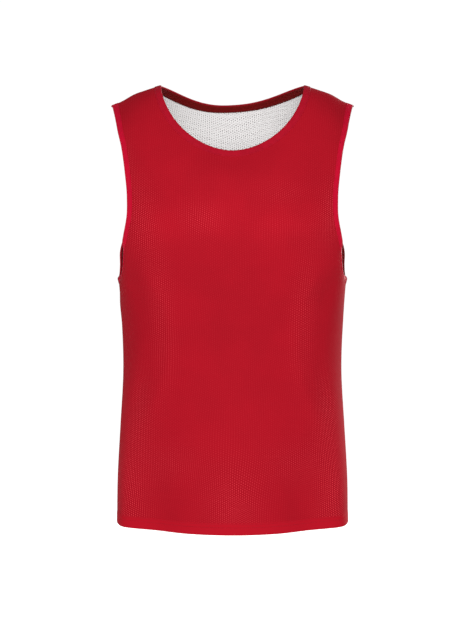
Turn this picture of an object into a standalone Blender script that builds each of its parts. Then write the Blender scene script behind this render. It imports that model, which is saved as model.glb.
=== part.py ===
"""A reversible training bib: a sleeveless top of two mesh layers, filled out as worn, with nobody in it.

Metres, +Z up. The front faces -Y, and +X is on the right of someone who looks at the front. The origin
lies midway between the shoulder straps, where the wearer's shoulders carry the bib.

Each half of the bib, front and back, is one smooth sheet. A place on it is an (angle, run) pair: the
angle goes from -90 degrees at the left side seam over 0 in the middle to 90 at the right side seam,
and the run climbs the sheet from the hem to the shoulder line. The four mesh panels are grids of such
places, moved in along the sheet's normal by their layer. The three bindings are closed loops round
the neck and the armholes, from the finished edge to the seam where the panels end.
"""

from collections import namedtuple

import bpy
import numpy as np

# Cloth thicknesses, from the outside in.
OUTER_THICKNESS = 0.0010
LAYER_GAP = 0.0004
INNER_THICKNESS = 0.0010
SEAM_GAP = 0.0003

# Bindings: a folded strip that is a little proud of the panels on both sides. Its cross-section has a
# round fold at the finished edge, a low crown halfway, and stops just short of the panels at the seam.
NECK_BINDING_WIDTH = 0.0108
ARMHOLE_BINDING_WIDTH = 0.0100
BINDING_PROUD = 0.0003
BINDING_CROWN = 0.0003
BINDING_FOLD_SHARE = 0.10
BINDING_CROWN_SHARE = 0.55
BINDING_SEAM_GAP = 0.00036

# The body form, a row for each level cross-section. Squareness 2 is an ellipse, and more is boxier.
Section = namedtuple("Section", "height half_width front_depth back_depth squareness")
BODY = (
    Section(-0.670, 0.1803, 0.1180, 0.1190, 2.00),
    Section(-0.600, 0.1795, 0.1175, 0.1175, 2.05),
    Section(-0.510, 0.1755, 0.1150, 0.1110, 2.10),
    Section(-0.429, 0.1730, 0.1120, 0.1030, 2.10),
    Section(-0.350, 0.1755, 0.1140, 0.1060, 2.15),
    Section(-0.285, 0.1780, 0.1175, 0.1120, 2.35),
    Section(-0.235, 0.1850, 0.1200, 0.1150, 2.45),
    Section(-0.170, 0.2010, 0.1195, 0.1170, 2.15),
    Section(-0.110, 0.2090, 0.1180, 0.1180, 2.00),
    Section(-0.060, 0.2100, 0.1180, 0.1180, 2.00),
    Section(0.030, 0.2100, 0.1180, 0.1180, 2.00),
)

# The shoulder line at the top of the sheet, from the middle of the neck out to the shoulder tip.
ShoulderPoint = namedtuple("ShoulderPoint", "across height")
SHOULDER = (
    ShoulderPoint(0.000, 0.0300),
    ShoulderPoint(0.060, 0.0285),
    ShoulderPoint(0.100, 0.0215),
    ShoulderPoint(0.121, 0.0150),
    ShoulderPoint(0.136, 0.0100),
    ShoulderPoint(0.152, 0.0025),
    ShoulderPoint(0.172, -0.0070),
    ShoulderPoint(0.188, -0.0135),
    ShoulderPoint(0.210, -0.0200),
)

# The neck edge of a half, as a height over the distance from the middle:
# the shoulder line's height less depth * (1 - (distance / half width) ** fullness) ** roundness.
NECK_HALF_WIDTH = 0.1112
NeckCut = namedtuple("NeckCut", "depth fullness roundness skew")
FRONT_NECK = NeckCut(depth=0.1066, fullness=1.85, roundness=0.54, skew=0.0)
BACK_NECK = NeckCut(depth=0.0222, fullness=2.40, roundness=1.70, skew=0.0019)

# The armhole edge of a half, from the underarm up to the shoulder tip.
ArmholePoint = namedtuple("ArmholePoint", "degrees height")
FRONT_ARMHOLE = (
    ArmholePoint(90.0, -0.2800),
    ArmholePoint(80.0, -0.2765),
    ArmholePoint(69.0, -0.2640),
    ArmholePoint(63.3, -0.2420),
    ArmholePoint(56.5, -0.2150),
    ArmholePoint(52.3, -0.1900),
    ArmholePoint(50.9, -0.1600),
    ArmholePoint(51.8, -0.1200),
    ArmholePoint(54.0, -0.0820),
    ArmholePoint(57.8, -0.0490),
)
BACK_ARMHOLE = (
    ArmholePoint(90.0, -0.2800),
    ArmholePoint(81.5, -0.2755),
    ArmholePoint(75.5, -0.2620),
    ArmholePoint(71.3, -0.2430),
    ArmholePoint(61.4, -0.2160),
    ArmholePoint(54.0, -0.1880),
    ArmholePoint(51.0, -0.1550),
    ArmholePoint(50.5, -0.1150),
    ArmholePoint(52.5, -0.0780),
    ArmholePoint(56.5, -0.0470),
)
SHOULDER_TIP = 0.1870

# The hem: its height at the side seams, its drop in the middle of a half, and its turned-up strip.
HEM_HEIGHT = -0.6610
HEM_DROP = 0.0030
HEM_FOLD = 0.0180
HEM_FOLD_STEP = 0.0015
HEM_FOLD_PROUD = 0.0004
INNER_HEM_RISE = 0.0060

# Large folds: ridges (depth over 0) and hollows. The turn goes round the body from the middle of the
# front (0) over the right side seam (90) and the middle of the back (180) to the left side seam (-90).
# The lean turns a fold by so many degrees for each metre of height.
Fold = namedtuple("Fold", "turn height lean half_turn half_height depth")
FOLDS = (
    Fold(-73.0, -0.385, 0.0, 19.0, 0.100, -0.0045),
    Fold(73.0, -0.395, 0.0, 19.0, 0.105, -0.0045),
    Fold(-43.0, -0.345, 30.0, 9.0, 0.105, 0.0032),
    Fold(43.0, -0.370, -30.0, 9.0, 0.100, 0.0030),
    Fold(1.0, -0.665, 0.0, 18.0, 0.130, 0.0036),
    Fold(-41.0, -0.665, 12.0, 14.5, 0.110, -0.0088),
    Fold(41.5, -0.670, -16.0, 14.5, 0.120, -0.0088),
    Fold(-62.5, -0.660, 0.0, 9.0, 0.110, 0.0046),
    Fold(62.5, -0.665, 0.0, 9.0, 0.120, 0.0046),
    Fold(-112.0, -0.410, 0.0, 17.0, 0.105, -0.0042),
    Fold(110.0, -0.380, 0.0, 18.0, 0.110, -0.0045),
    Fold(-144.0, -0.430, -35.0, 9.0, 0.120, 0.0030),
    Fold(141.0, -0.400, 25.0, 10.0, 0.110, 0.0032),
    Fold(176.0, -0.540, 12.0, 12.0, 0.120, -0.0035),
    Fold(-153.0, -0.640, 0.0, 11.0, 0.110, 0.0040),
    Fold(146.0, -0.650, 0.0, 13.0, 0.100, -0.0060),
    Fold(-128.0, -0.660, 10.0, 12.0, 0.100, -0.0050),
)

# A half: its name, which way it faces along Y, the height where it starts to roll inwards on its way
# up to the shoulder line, and how much higher than that line it would reach behind the cut-out neck.
Half = namedtuple("Half", "name facing roll_height middle_lift neck armhole")
FRONT = Half("front", -1, -0.240, 0.0, FRONT_NECK, FRONT_ARMHOLE)
BACK = Half("back", 1, -0.140, 0.028, BACK_NECK, BACK_ARMHOLE)
MIDDLE_LIFT_REACH = 0.105

# The binding's edge puckers where its two halves are sewn together.
Pucker = namedtuple("Pucker", "outward towards_opening reach")
UNDERARM_PUCKER = Pucker(outward=0.0022, towards_opening=0.0, reach=0.009)
TIP_PUCKER = Pucker(outward=0.0, towards_opening=0.0008, reach=0.007)

# The panel grid. Columns run from the left side seam to the right one. The armhole's curve turns
# from across to up at the armhole column, and the neck's curve does so at the neck column.
COLUMNS = 28
ARMHOLE_COLUMN = 4
NECK_COLUMN = 9
HEM_TOP_ROW = 2
BODY_ROWS = 16
CHEST_ROWS = 8
STRAP_ROWS = 8
ARMHOLE_TURN_SHARE = 0.17
STRAP_START_SHARE = 0.62
NECK_TURN_SHARE = 0.50

SMALL_ANGLE = 1e-4
SMALL_RUN = 1e-5
CURVE_SAMPLES = 600
SMOOTH_WITHIN_DEGREES = 40.0

Cloth = namedtuple("Cloth", "colour roughness")
RED_MESH = Cloth((0.456, 0.0116, 0.0232, 1.0), 0.78)
WHITE_MESH = Cloth((0.72, 0.71, 0.70, 1.0), 0.80)
RED_BINDING = Cloth((0.50, 0.0075, 0.0250, 1.0), 0.70)


def smooth_curve(places, values, wanted):
    """A smooth curve through the table's values, read at the wanted places."""
    places = np.asarray(places, float)
    values = np.asarray(values, float)
    slopes = np.gradient(values, places)
    wanted = np.clip(wanted, places[0], places[-1])
    before = np.clip(np.searchsorted(places, wanted) - 1, 0, len(places) - 2)
    gap = places[before + 1] - places[before]
    t = (wanted - places[before]) / gap
    value = values[before] * (1 + 2 * t) * (1 - t) ** 2
    value = value + values[before + 1] * t * t * (3 - 2 * t)
    value = value + slopes[before] * gap * t * (1 - t) ** 2
    return value - slopes[before + 1] * gap * t * t * (1 - t)


def column_of(table, name):
    return [getattr(row, name) for row in table]


def body_value(name, height):
    """One column of the body table, read at any height."""
    return smooth_curve(column_of(BODY, "height"), column_of(BODY, name), height)


SHOULDER_HALF_WIDTH = BODY[-1].half_width


def shoulder_height(across):
    """The shoulder line's height at a distance from the middle."""
    return smooth_curve(column_of(SHOULDER, "across"), column_of(SHOULDER, "height"), np.abs(across))


def fold_bulge(half, angle, height):
    """How far the folds push the sheet outwards."""
    turn = np.degrees(angle) if half.facing < 0 else 180.0 - np.degrees(angle)
    bulge = np.zeros(np.broadcast(angle, height).shape)
    for fold in FOLDS:
        aside = turn - fold.turn - fold.lean * (height - fold.height)
        aside = ((aside + 180.0) % 360.0 - 180.0) / fold.half_turn
        above = (height - fold.height) / fold.half_height
        bulge = bulge + fold.depth * np.exp(-aside * aside - above * above)
    return bulge


def sheet_rise(half, angle):
    """The height from where the half starts to roll inwards up to the shoulder line."""
    across = SHOULDER_HALF_WIDTH * np.sin(angle)
    lift = half.middle_lift * np.clip(1.0 - (across / MIDDLE_LIFT_REACH) ** 2, 0.0, 1.0) ** 2
    return shoulder_height(across) + lift - half.roll_height


def top_run(half, angle):
    """The run at which the sheet reaches the shoulder line."""
    return half.roll_height + sheet_rise(half, angle) * np.pi / 2


def run_at_height(half, angle, height):
    """The run at which the sheet has this height."""
    rise = sheet_rise(half, angle)
    share = np.clip((height - half.roll_height) / rise, -1.0, 1.0)
    return np.where(share < 0, height, half.roll_height + rise * np.arcsin(share))


def sheet_point(half, angle, run):
    """The sheet's points at these angles and runs, with the last axis for x, y and z."""
    rise = sheet_rise(half, angle)
    roll = np.maximum(run - half.roll_height, 0.0) / rise
    height = np.where(run < half.roll_height, run, half.roll_height + rise * np.sin(roll))
    squareness = body_value("squareness", height)
    corner = np.abs(np.sin(angle)) ** squareness + np.abs(np.cos(angle)) ** squareness
    reach = corner ** (-1.0 / squareness)
    bulge = fold_bulge(half, angle, height)
    half_width = body_value("half_width", height) * reach + bulge
    depth = (body_value(half.name + "_depth", height) * reach + bulge) * np.cos(roll)
    return np.stack((half_width * np.sin(angle), half.facing * depth * np.cos(angle), height), axis=-1)


def sheet_directions(half, angle, run):
    """The sheet's rates of change across and up at these places."""
    across = sheet_point(half, angle + SMALL_ANGLE, run) - sheet_point(half, angle - SMALL_ANGLE, run)
    up = sheet_point(half, angle, run + SMALL_RUN) - sheet_point(half, angle, run - SMALL_RUN)
    return across / (2 * SMALL_ANGLE), up / (2 * SMALL_RUN)


def unit(vectors):
    return vectors / np.linalg.norm(vectors, axis=-1, keepdims=True)


def sheet_normal(half, angle, run):
    """The sheet's outward normals."""
    across, up = sheet_directions(half, angle, run)
    return unit(-half.facing * np.cross(across, up))


def evenly_along(half, places, shares):
    """Places at these shares of the length of a curve that is given as close places on the sheet."""
    points = sheet_point(half, places[:, 0], places[:, 1])
    lengths = np.linalg.norm(np.diff(points, axis=0), axis=1)
    along = np.concatenate(([0.0], np.cumsum(lengths)))
    wanted = np.asarray(shares) * along[-1]
    return np.column_stack([np.interp(wanted, along, places[:, axis]) for axis in (0, 1)])


def neck_curve(half):
    """The neck edge of a half as close places, from the left shoulder line to the right one."""
    share = np.linspace(-1.0, 1.0, 2 * CURVE_SAMPLES + 1)
    turn = np.sign(share) * (1.0 - (1.0 - np.abs(share)) ** 2) * np.pi / 2
    across = NECK_HALF_WIDTH * np.sin(turn)
    dip = np.clip(1.0 - np.abs(np.sin(turn)) ** half.neck.fullness, 0.0, 1.0) ** half.neck.roundness
    height = shoulder_height(NECK_HALF_WIDTH) - half.neck.depth * dip
    height = height + half.neck.skew * np.sin(np.pi * across / NECK_HALF_WIDTH)
    angle = np.arcsin(across / body_value("half_width", height))
    run = run_at_height(half, angle, height)
    run[[0, -1]] = top_run(half, angle[[0, -1]])
    return np.column_stack((angle, run))


def armhole_curve(half):
    """The right armhole edge of a half as close places, from the underarm to the shoulder tip."""
    angle = np.radians(column_of(half.armhole, "degrees"))
    run = run_at_height(half, angle, np.array(column_of(half.armhole, "height")))
    tip_angle = np.arcsin(SHOULDER_TIP / SHOULDER_HALF_WIDTH)
    angle = np.append(angle, tip_angle)
    run = np.append(run, top_run(half, tip_angle))
    # One more place past each end, mirrored, makes the front and back edges meet with no kink.
    angle = np.concatenate(([np.pi - angle[1]], angle, [angle[-2]]))
    run = np.concatenate(([run[1]], run, [2 * run[-1] - run[-2]]))
    points = sheet_point(half, angle, run)
    along = np.concatenate(([0.0], np.cumsum(np.linalg.norm(np.diff(points, axis=0), axis=1))))
    wanted = np.linspace(along[1], along[-2], CURVE_SAMPLES)
    return np.column_stack((smooth_curve(along, angle, wanted), smooth_curve(along, run, wanted)))


def spread(start, stop, count):
    """count equal steps from start to stop, without the start."""
    return list(np.linspace(start, stop, count + 1)[1:])


def neck_stations():
    """Shares of the neck edge of a half at the grid's rows and columns, from left to right."""
    strap = NECK_TURN_SHARE / 2
    middle = COLUMNS - 2 * NECK_COLUMN
    shares = [0.0] + spread(0.0, strap, STRAP_ROWS)
    return shares + spread(strap, 1.0 - strap, middle) + spread(1.0 - strap, 1.0, STRAP_ROWS)


def armhole_stations():
    """Shares of the armhole edge of a half at the grid's columns and rows, from the underarm up."""
    shares = [0.0] + spread(0.0, ARMHOLE_TURN_SHARE, ARMHOLE_COLUMN)
    shares += spread(ARMHOLE_TURN_SHARE, STRAP_START_SHARE, CHEST_ROWS)
    return shares + spread(STRAP_START_SHARE, 1.0, STRAP_ROWS)


def joined_place(half, angle, run):
    """The nearest place on the side seam, below the chest, or else on the shoulder line."""
    if run < half.roll_height:
        return np.array((np.copysign(np.pi / 2, angle), run))
    return np.array((angle, top_run(half, angle)))


def mirrored(places):
    return places * np.array((-1.0, 1.0))


class EdgeLoop:
    """A finished edge, closed through the front and the back, with the seam beside it.

    The two stretches are runs of places, one on each half, that share their first and last points.
    """

    def __init__(self, front_places, back_places, width):
        self.front_count = len(front_places)
        pieces = ((FRONT, front_places), (BACK, back_places[1:-1]))
        self.halves = [half for half, places in pieces for _ in places]
        self.places = np.concatenate([places for _, places in pieces])
        self.edge = self.read(sheet_point, self.places)
        self.normal = self.read(sheet_normal, self.places)
        travel = unit(np.roll(self.edge, -1, axis=0) - np.roll(self.edge, 1, axis=0))
        self.opening = unit(np.cross(self.normal, travel))
        self.seam_places = np.array([self.step(i, -width * self.opening[i]) for i in range(len(self.edge))])
        for i in (0, self.front_count - 1):
            self.seam_places[i] = joined_place(FRONT, *self.seam_places[i])
        self.seam = self.read(sheet_point, self.seam_places)
        self.seam_normal = self.read(sheet_normal, self.seam_places)

    def read(self, function, places):
        return np.array([function(half, *place) for half, place in zip(self.halves, places)])

    def step(self, i, move):
        """The place reached from one of the edge's places by a short move along the sheet."""
        half, place = self.halves[i], self.places[i]
        across, up = sheet_directions(half, *place)
        step = np.linalg.lstsq(np.column_stack((across, up)), move, rcond=None)[0]
        return place + step

    def seam_of(self, half):
        """The seam's places on one half, in the order in which the loop passes them."""
        if half is FRONT:
            return self.seam_places[: self.front_count]
        ends = [self.seam_places[self.front_count - 1], self.seam_places[0]]
        ends = [joined_place(BACK, angle, run) for angle, run in ends]
        return np.concatenate((ends[:1], self.seam_places[self.front_count :], ends[1:]))

    def pucker(self, i, pucker):
        """Moves the finished edge near one of its points, less and less away from it."""
        away = np.linalg.norm(self.edge - self.edge[i], axis=1) / pucker.reach
        share = np.exp(-away * away)[:, None]
        self.edge = self.edge + share * pucker.outward * self.normal
        self.edge = self.edge + share * pucker.towards_opening * self.opening


def neck_loop():
    """Rightwards over the front, then back over the back."""
    front, back = [evenly_along(half, neck_curve(half), neck_stations()) for half in (FRONT, BACK)]
    return EdgeLoop(front, back[::-1], NECK_BINDING_WIDTH)


def armhole_loop(side):
    """Round one armhole. side is 1 for the right one and -1 for the left one."""
    front, back = [evenly_along(half, armhole_curve(half), armhole_stations()) for half in (FRONT, BACK)]
    if side > 0:
        front, back = front[::-1], back
    else:
        front, back = mirrored(front), mirrored(back)[::-1]
    return EdgeLoop(front, back, ARMHOLE_BINDING_WIDTH)


def fill_block(grid, columns, rows, shares_across, shares_up):
    """Fills a block of the grid between its four sides, which the grid already holds."""
    left, right, low, high = columns[0], columns[-1], rows[0], rows[-1]
    for i, s in zip(columns[1:-1], shares_across[1:-1]):
        for j, t in zip(rows[1:-1], shares_up[1:-1]):
            sides = (1 - s) * grid[left, j] + s * grid[right, j]
            ends = (1 - t) * grid[i, low] + t * grid[i, high]
            corners = (1 - s) * (1 - t) * grid[left, low] + s * (1 - t) * grid[right, low]
            corners = corners + (1 - s) * t * grid[left, high] + s * t * grid[right, high]
            grid[i, j] = sides + ends - corners


def draw_line(grid, cells):
    """Even places between the first and last of these cells, which the grid already holds."""
    first, last = grid[cells[0]], grid[cells[-1]]
    for cell, t in zip(cells, np.linspace(0.0, 1.0, len(cells))):
        grid[cell] = (1 - t) * first + t * last


def hem_rows(hem_rise):
    """Heights above the outer hem of the rows that shape the turned-up strip."""
    return [hem_rise, HEM_FOLD, HEM_FOLD + HEM_FOLD_STEP]


def panel_grid(half, neck, left, right, hem_rise):
    """The places of one panel, keyed by (column, row)."""
    last = COLUMNS
    turn_row = BODY_ROWS
    strap_row = turn_row + CHEST_ROWS
    top_row = strap_row + STRAP_ROWS
    grid = {}
    left_seam = left.seam_of(half) if half is FRONT else left.seam_of(half)[::-1]
    right_seam = right.seam_of(half)[::-1] if half is FRONT else right.seam_of(half)
    neck_seam = neck.seam_of(half) if half is FRONT else neck.seam_of(half)[::-1]
    for step in range(ARMHOLE_COLUMN + 1):
        grid[step, turn_row] = left_seam[step]
        grid[last - step, turn_row] = right_seam[step]
    for step in range(CHEST_ROWS + STRAP_ROWS + 1):
        grid[ARMHOLE_COLUMN, turn_row + step] = left_seam[ARMHOLE_COLUMN + step]
        grid[last - ARMHOLE_COLUMN, turn_row + step] = right_seam[ARMHOLE_COLUMN + step]
    for step in range(STRAP_ROWS + 1):
        grid[NECK_COLUMN, top_row - step] = neck_seam[step]
        grid[last - NECK_COLUMN, top_row - step] = neck_seam[-1 - step]
    for column in range(NECK_COLUMN, last - NECK_COLUMN + 1):
        grid[column, strap_row] = neck_seam[STRAP_ROWS + column - NECK_COLUMN]

    # The rows of the hem, then the body up to the underarm.
    for column in range(last + 1):
        angle = np.pi * (column / last - 0.5)
        hem = HEM_HEIGHT - HEM_DROP * np.cos(angle) ** 2
        for row, above in enumerate(hem_rows(hem_rise)):
            grid[column, row] = np.array((angle, hem + above))
    first = HEM_TOP_ROW
    body_rows = list(range(first, turn_row + 1))
    for column in (0, last):
        draw_line(grid, [(column, row) for row in body_rows])
    inner_columns = list(range(ARMHOLE_COLUMN, last - ARMHOLE_COLUMN + 1))
    draw_line(grid, [(column, turn_row) for column in inner_columns])
    all_columns = list(range(last + 1))
    up = np.linspace(0.0, 1.0, len(body_rows))
    fill_block(grid, all_columns, body_rows, np.linspace(0.0, 1.0, last + 1), up)

    # The chest between the armholes, then the two straps.
    straps = (
        list(range(ARMHOLE_COLUMN, NECK_COLUMN + 1)),
        list(range(last - NECK_COLUMN, last - ARMHOLE_COLUMN + 1)),
    )
    strap_rows = list(range(strap_row, top_row + 1))
    for columns in straps:
        for row in (strap_row, top_row):
            draw_line(grid, [(column, row) for column in columns])
    chest_rows = list(range(turn_row, strap_row + 1))
    up = np.linspace(0.0, 1.0, len(chest_rows))
    fill_block(grid, inner_columns, chest_rows, np.linspace(0.0, 1.0, len(inner_columns)), up)
    for columns in straps:
        up = np.linspace(0.0, 1.0, len(strap_rows))
        fill_block(grid, columns, strap_rows, np.linspace(0.0, 1.0, len(columns)), up)
        for column in columns:
            angle = grid[column, top_row][0]
            grid[column, top_row] = np.array((angle, top_run(half, angle)))
    return grid


def panel_faces(grid, facing):
    """The grid's squares, each cut into two triangles that face outwards.

    All layers are cut along the same diagonals, so they stay parallel.
    """
    faces = []
    for column, row in grid:
        low_left, low_right = (column, row), (column + 1, row)
        high_left, high_right = (column, row + 1), (column + 1, row + 1)
        in_strap_gap = row >= BODY_ROWS + CHEST_ROWS and NECK_COLUMN <= column < COLUMNS - NECK_COLUMN
        if in_strap_gap or not all(corner in grid for corner in (low_right, high_left, high_right)):
            continue
        if column < COLUMNS / 2:
            halves = [(low_left, low_right, high_right), (low_left, high_right, high_left)]
        else:
            halves = [(low_left, low_right, high_left), (low_right, high_right, high_left)]
        faces += halves if facing < 0 else [corners[::-1] for corners in halves]
    return faces


def rim_faces(faces, count):
    """Faces that join a sheet's border to that of its copy, whose points are numbered count higher."""
    edges = [(face[i], face[(i + 1) % len(face)]) for face in faces for i in range(len(face))]
    inside = set(edges)
    return [(b, a, a + count, b + count) for a, b in edges if (b, a) not in inside]


def add_mesh_object(name, points, faces, material):
    """A closed mesh object with its own material, shaded smooth but for its rims."""
    mesh = bpy.data.meshes.new(name)
    mesh.from_pydata([tuple(point) for point in points], [], faces)
    mesh.validate()
    mesh.shade_smooth()
    mesh.set_sharp_from_angle(angle=np.radians(SMOOTH_WITHIN_DEGREES))
    mesh.materials.append(material)
    obj = bpy.data.objects.new(name, mesh)
    bpy.context.scene.collection.objects.link(obj)
    return obj


def add_panel(name, half, grid, depth, thickness, hem_proud, material):
    """One mesh panel: the grid's sheet, sunk by depth and thickened inwards.

    Its turned-up hem stands proud by the two given heights, on its outer and on its inner face.
    """
    cells = list(grid)
    places = np.array([grid[cell] for cell in cells])
    points = sheet_point(half, places[:, 0], places[:, 1])
    normals = sheet_normal(half, places[:, 0], places[:, 1])
    points = points + np.array((0.0, half.facing * SEAM_GAP / 2, 0.0))
    in_hem = np.array([row < HEM_TOP_ROW for _, row in cells])[:, None]
    outer = points - normals * (depth - in_hem * hem_proud[0])
    inner = points - normals * (depth + thickness + in_hem * hem_proud[1])
    number = {cell: i for i, cell in enumerate(cells)}
    front = [[number[cell] for cell in face] for face in panel_faces(grid, half.facing)]
    count = len(cells)
    back = [[i + count for i in face[::-1]] for face in front]
    faces = front + back + rim_faces(front, count)
    return add_mesh_object(name, np.concatenate((outer, inner)), faces, material)


def binding_profile(width):
    """The binding's cross-section as (share of the way from edge to seam, height over the sheet)."""
    top = BINDING_PROUD
    bottom = -(OUTER_THICKNESS + LAYER_GAP + INNER_THICKNESS) - BINDING_PROUD
    seam_share = 1.0 - BINDING_SEAM_GAP / width
    return (
        (seam_share, top),
        (BINDING_CROWN_SHARE, top + BINDING_CROWN),
        (BINDING_FOLD_SHARE, top),
        (0.0, (top + bottom) / 2),
        (BINDING_FOLD_SHARE, bottom),
        (BINDING_CROWN_SHARE, bottom - BINDING_CROWN),
        (seam_share, bottom),
    )


def add_binding(name, loop, width, material):
    """One binding: its cross-section carried round the edge loop."""
    rings = []
    for share, height in binding_profile(width):
        normal = unit((1 - share) * loop.normal + share * loop.seam_normal)
        rings.append((1 - share) * loop.edge + share * loop.seam + height * normal)
    points = np.stack(rings, axis=1)
    around, across = points.shape[:2]
    faces = []
    for i in range(around):
        for j in range(across):
            a, b = i * across + j, i * across + (j + 1) % across
            c, d = (i + 1) % around * across + (j + 1) % across, (i + 1) % around * across + j
            faces.append((d, c, b, a))
    return add_mesh_object(name, points.reshape(-1, 3), faces, material)


def add_material(name, cloth):
    material = bpy.data.materials.new(name)
    material.diffuse_color = cloth.colour
    material.use_nodes = True
    shader = material.node_tree.nodes["Principled BSDF"]
    shader.inputs["Base Color"].default_value = cloth.colour
    shader.inputs["Roughness"].default_value = cloth.roughness
    shader.inputs["Metallic"].default_value = 0.0
    return material


def clear_scene():
    for obj in list(bpy.data.objects):
        bpy.data.objects.remove(obj, do_unlink=True)


def add_panels(neck, left, right):
    """The red outer panels, and the white inner ones a layer further in."""
    inner_depth = OUTER_THICKNESS + LAYER_GAP
    for half in (FRONT, BACK):
        name = "outer_" + half.name
        grid = panel_grid(half, neck, left, right, 0.0)
        material = add_material(name, RED_MESH)
        add_panel(name, half, grid, 0.0, OUTER_THICKNESS, (HEM_FOLD_PROUD, 0.0), material)
        name = "inner_" + half.name
        grid = panel_grid(half, neck, left, right, INNER_HEM_RISE)
        material = add_material(name, WHITE_MESH)
        add_panel(name, half, grid, inner_depth, INNER_THICKNESS, (0.0, HEM_FOLD_PROUD), material)


def main():
    clear_scene()
    neck, left, right = neck_loop(), armhole_loop(-1), armhole_loop(1)
    add_panels(neck, left, right)
    for loop in (left, right):
        last_of_front = loop.front_count - 1
        underarm, tip = (0, last_of_front) if loop is left else (last_of_front, 0)
        loop.pucker(underarm, UNDERARM_PUCKER)
        loop.pucker(tip, TIP_PUCKER)
    bindings = (
        ("neck_binding", neck, NECK_BINDING_WIDTH),
        ("armhole_binding_left", left, ARMHOLE_BINDING_WIDTH),
        ("armhole_binding_right", right, ARMHOLE_BINDING_WIDTH),
    )
    for name, loop, width in bindings:
        add_binding(name, loop, width, add_material(name, RED_BINDING))


if __name__ == "__main__":
    main()
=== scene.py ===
"""A reversible training bib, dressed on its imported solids: two layers of mesh cloth, folded and sewn.

Metres, +Z up. The front faces -Y, and +X is on the right of someone who looks at the front. The origin
lies midway between the shoulder straps.

Each half of the bib, front and back, is one smooth sheet. A place on it is an (angle, run) pair: the
angle goes from -90 degrees at the left side seam over 0 in the middle to 90 at the right side seam,
and the run climbs the sheet from the hem to the shoulder line. The mesh panels are grids of such
places. The bindings, the stitches and the seam edge in the neck follow the finished edges.
"""

from collections import namedtuple

import bpy
import numpy as np
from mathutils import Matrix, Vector


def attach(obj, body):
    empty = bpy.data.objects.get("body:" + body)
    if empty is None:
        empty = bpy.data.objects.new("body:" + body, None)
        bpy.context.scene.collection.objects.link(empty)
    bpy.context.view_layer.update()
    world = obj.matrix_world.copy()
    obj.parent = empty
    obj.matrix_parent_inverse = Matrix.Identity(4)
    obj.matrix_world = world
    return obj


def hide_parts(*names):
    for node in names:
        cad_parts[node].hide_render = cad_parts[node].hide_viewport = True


bl_info = {
    "name": "Reversible training bib",
    "version": (1, 0, 0),
    "blender": (4, 5, 0),
    "location": "3D View > Sidebar > Bib",
    "description": "A sleeveless two-layer mesh bib with bound neck and armholes, filled out as worn",
    "category": "Add Mesh",
}

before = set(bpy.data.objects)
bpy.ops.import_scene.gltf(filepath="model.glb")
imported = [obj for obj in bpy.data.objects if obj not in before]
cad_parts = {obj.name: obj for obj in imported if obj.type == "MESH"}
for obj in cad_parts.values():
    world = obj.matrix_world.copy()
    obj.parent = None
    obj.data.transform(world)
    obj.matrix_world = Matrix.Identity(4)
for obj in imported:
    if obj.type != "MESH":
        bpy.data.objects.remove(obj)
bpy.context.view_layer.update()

# The layers of cloth, as depths below the outer surface of the sheet.
OUTER_DEPTH = 0.0
INNER_DEPTH = 0.0015
SHEET_BACK = 0.0024

# The body form, a row for each level cross-section. Squareness 2 is an ellipse, and more is boxier.
Section = namedtuple("Section", "height half_width front_depth back_depth squareness")
BODY = (
    Section(-0.670, 0.1803, 0.1180, 0.1190, 2.00),
    Section(-0.600, 0.1795, 0.1175, 0.1175, 2.05),
    Section(-0.510, 0.1755, 0.1150, 0.1110, 2.10),
    Section(-0.429, 0.1730, 0.1120, 0.1030, 2.10),
    Section(-0.350, 0.1755, 0.1140, 0.1060, 2.15),
    Section(-0.285, 0.1780, 0.1175, 0.1120, 2.35),
    Section(-0.235, 0.1850, 0.1200, 0.1150, 2.45),
    Section(-0.170, 0.2010, 0.1195, 0.1170, 2.15),
    Section(-0.110, 0.2090, 0.1180, 0.1180, 2.00),
    Section(-0.060, 0.2100, 0.1180, 0.1180, 2.00),
    Section(0.030, 0.2100, 0.1180, 0.1180, 2.00),
)

# The shoulder line at the top of the sheet, from the middle of the neck out to the shoulder tip.
ShoulderPoint = namedtuple("ShoulderPoint", "across height")
SHOULDER = (
    ShoulderPoint(0.000, 0.0300),
    ShoulderPoint(0.060, 0.0285),
    ShoulderPoint(0.100, 0.0215),
    ShoulderPoint(0.121, 0.0150),
    ShoulderPoint(0.136, 0.0100),
    ShoulderPoint(0.152, 0.0042),
    ShoulderPoint(0.172, -0.0070),
    ShoulderPoint(0.188, -0.0135),
    ShoulderPoint(0.210, -0.0200),
)

# The neck edge of a half, as a height over the distance from the middle:
# the shoulder line's height less depth * (1 - (distance / half width) ** fullness) ** roundness.
NECK_HALF_WIDTH = 0.1112
NeckCut = namedtuple("NeckCut", "depth fullness roundness skew")
FRONT_NECK = NeckCut(depth=0.1066, fullness=1.85, roundness=0.54, skew=0.0)
BACK_NECK = NeckCut(depth=0.0222, fullness=2.40, roundness=1.70, skew=0.0019)

# The armhole edge of a half, from the underarm up to the shoulder tip.
ArmholePoint = namedtuple("ArmholePoint", "degrees height")
FRONT_ARMHOLE = (
    ArmholePoint(90.0, -0.2800),
    ArmholePoint(80.0, -0.2765),
    ArmholePoint(69.0, -0.2640),
    ArmholePoint(63.3, -0.2420),
    ArmholePoint(56.5, -0.2150),
    ArmholePoint(52.3, -0.1900),
    ArmholePoint(50.9, -0.1600),
    ArmholePoint(51.8, -0.1200),
    ArmholePoint(54.0, -0.0820),
    ArmholePoint(57.8, -0.0490),
)
BACK_ARMHOLE = (
    ArmholePoint(90.0, -0.2800),
    ArmholePoint(81.5, -0.2755),
    ArmholePoint(75.5, -0.2620),
    ArmholePoint(71.3, -0.2430),
    ArmholePoint(61.4, -0.2160),
    ArmholePoint(54.0, -0.1880),
    ArmholePoint(51.0, -0.1550),
    ArmholePoint(50.5, -0.1150),
    ArmholePoint(52.5, -0.0780),
    ArmholePoint(56.5, -0.0470),
)
SHOULDER_TIP = 0.1870

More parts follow.
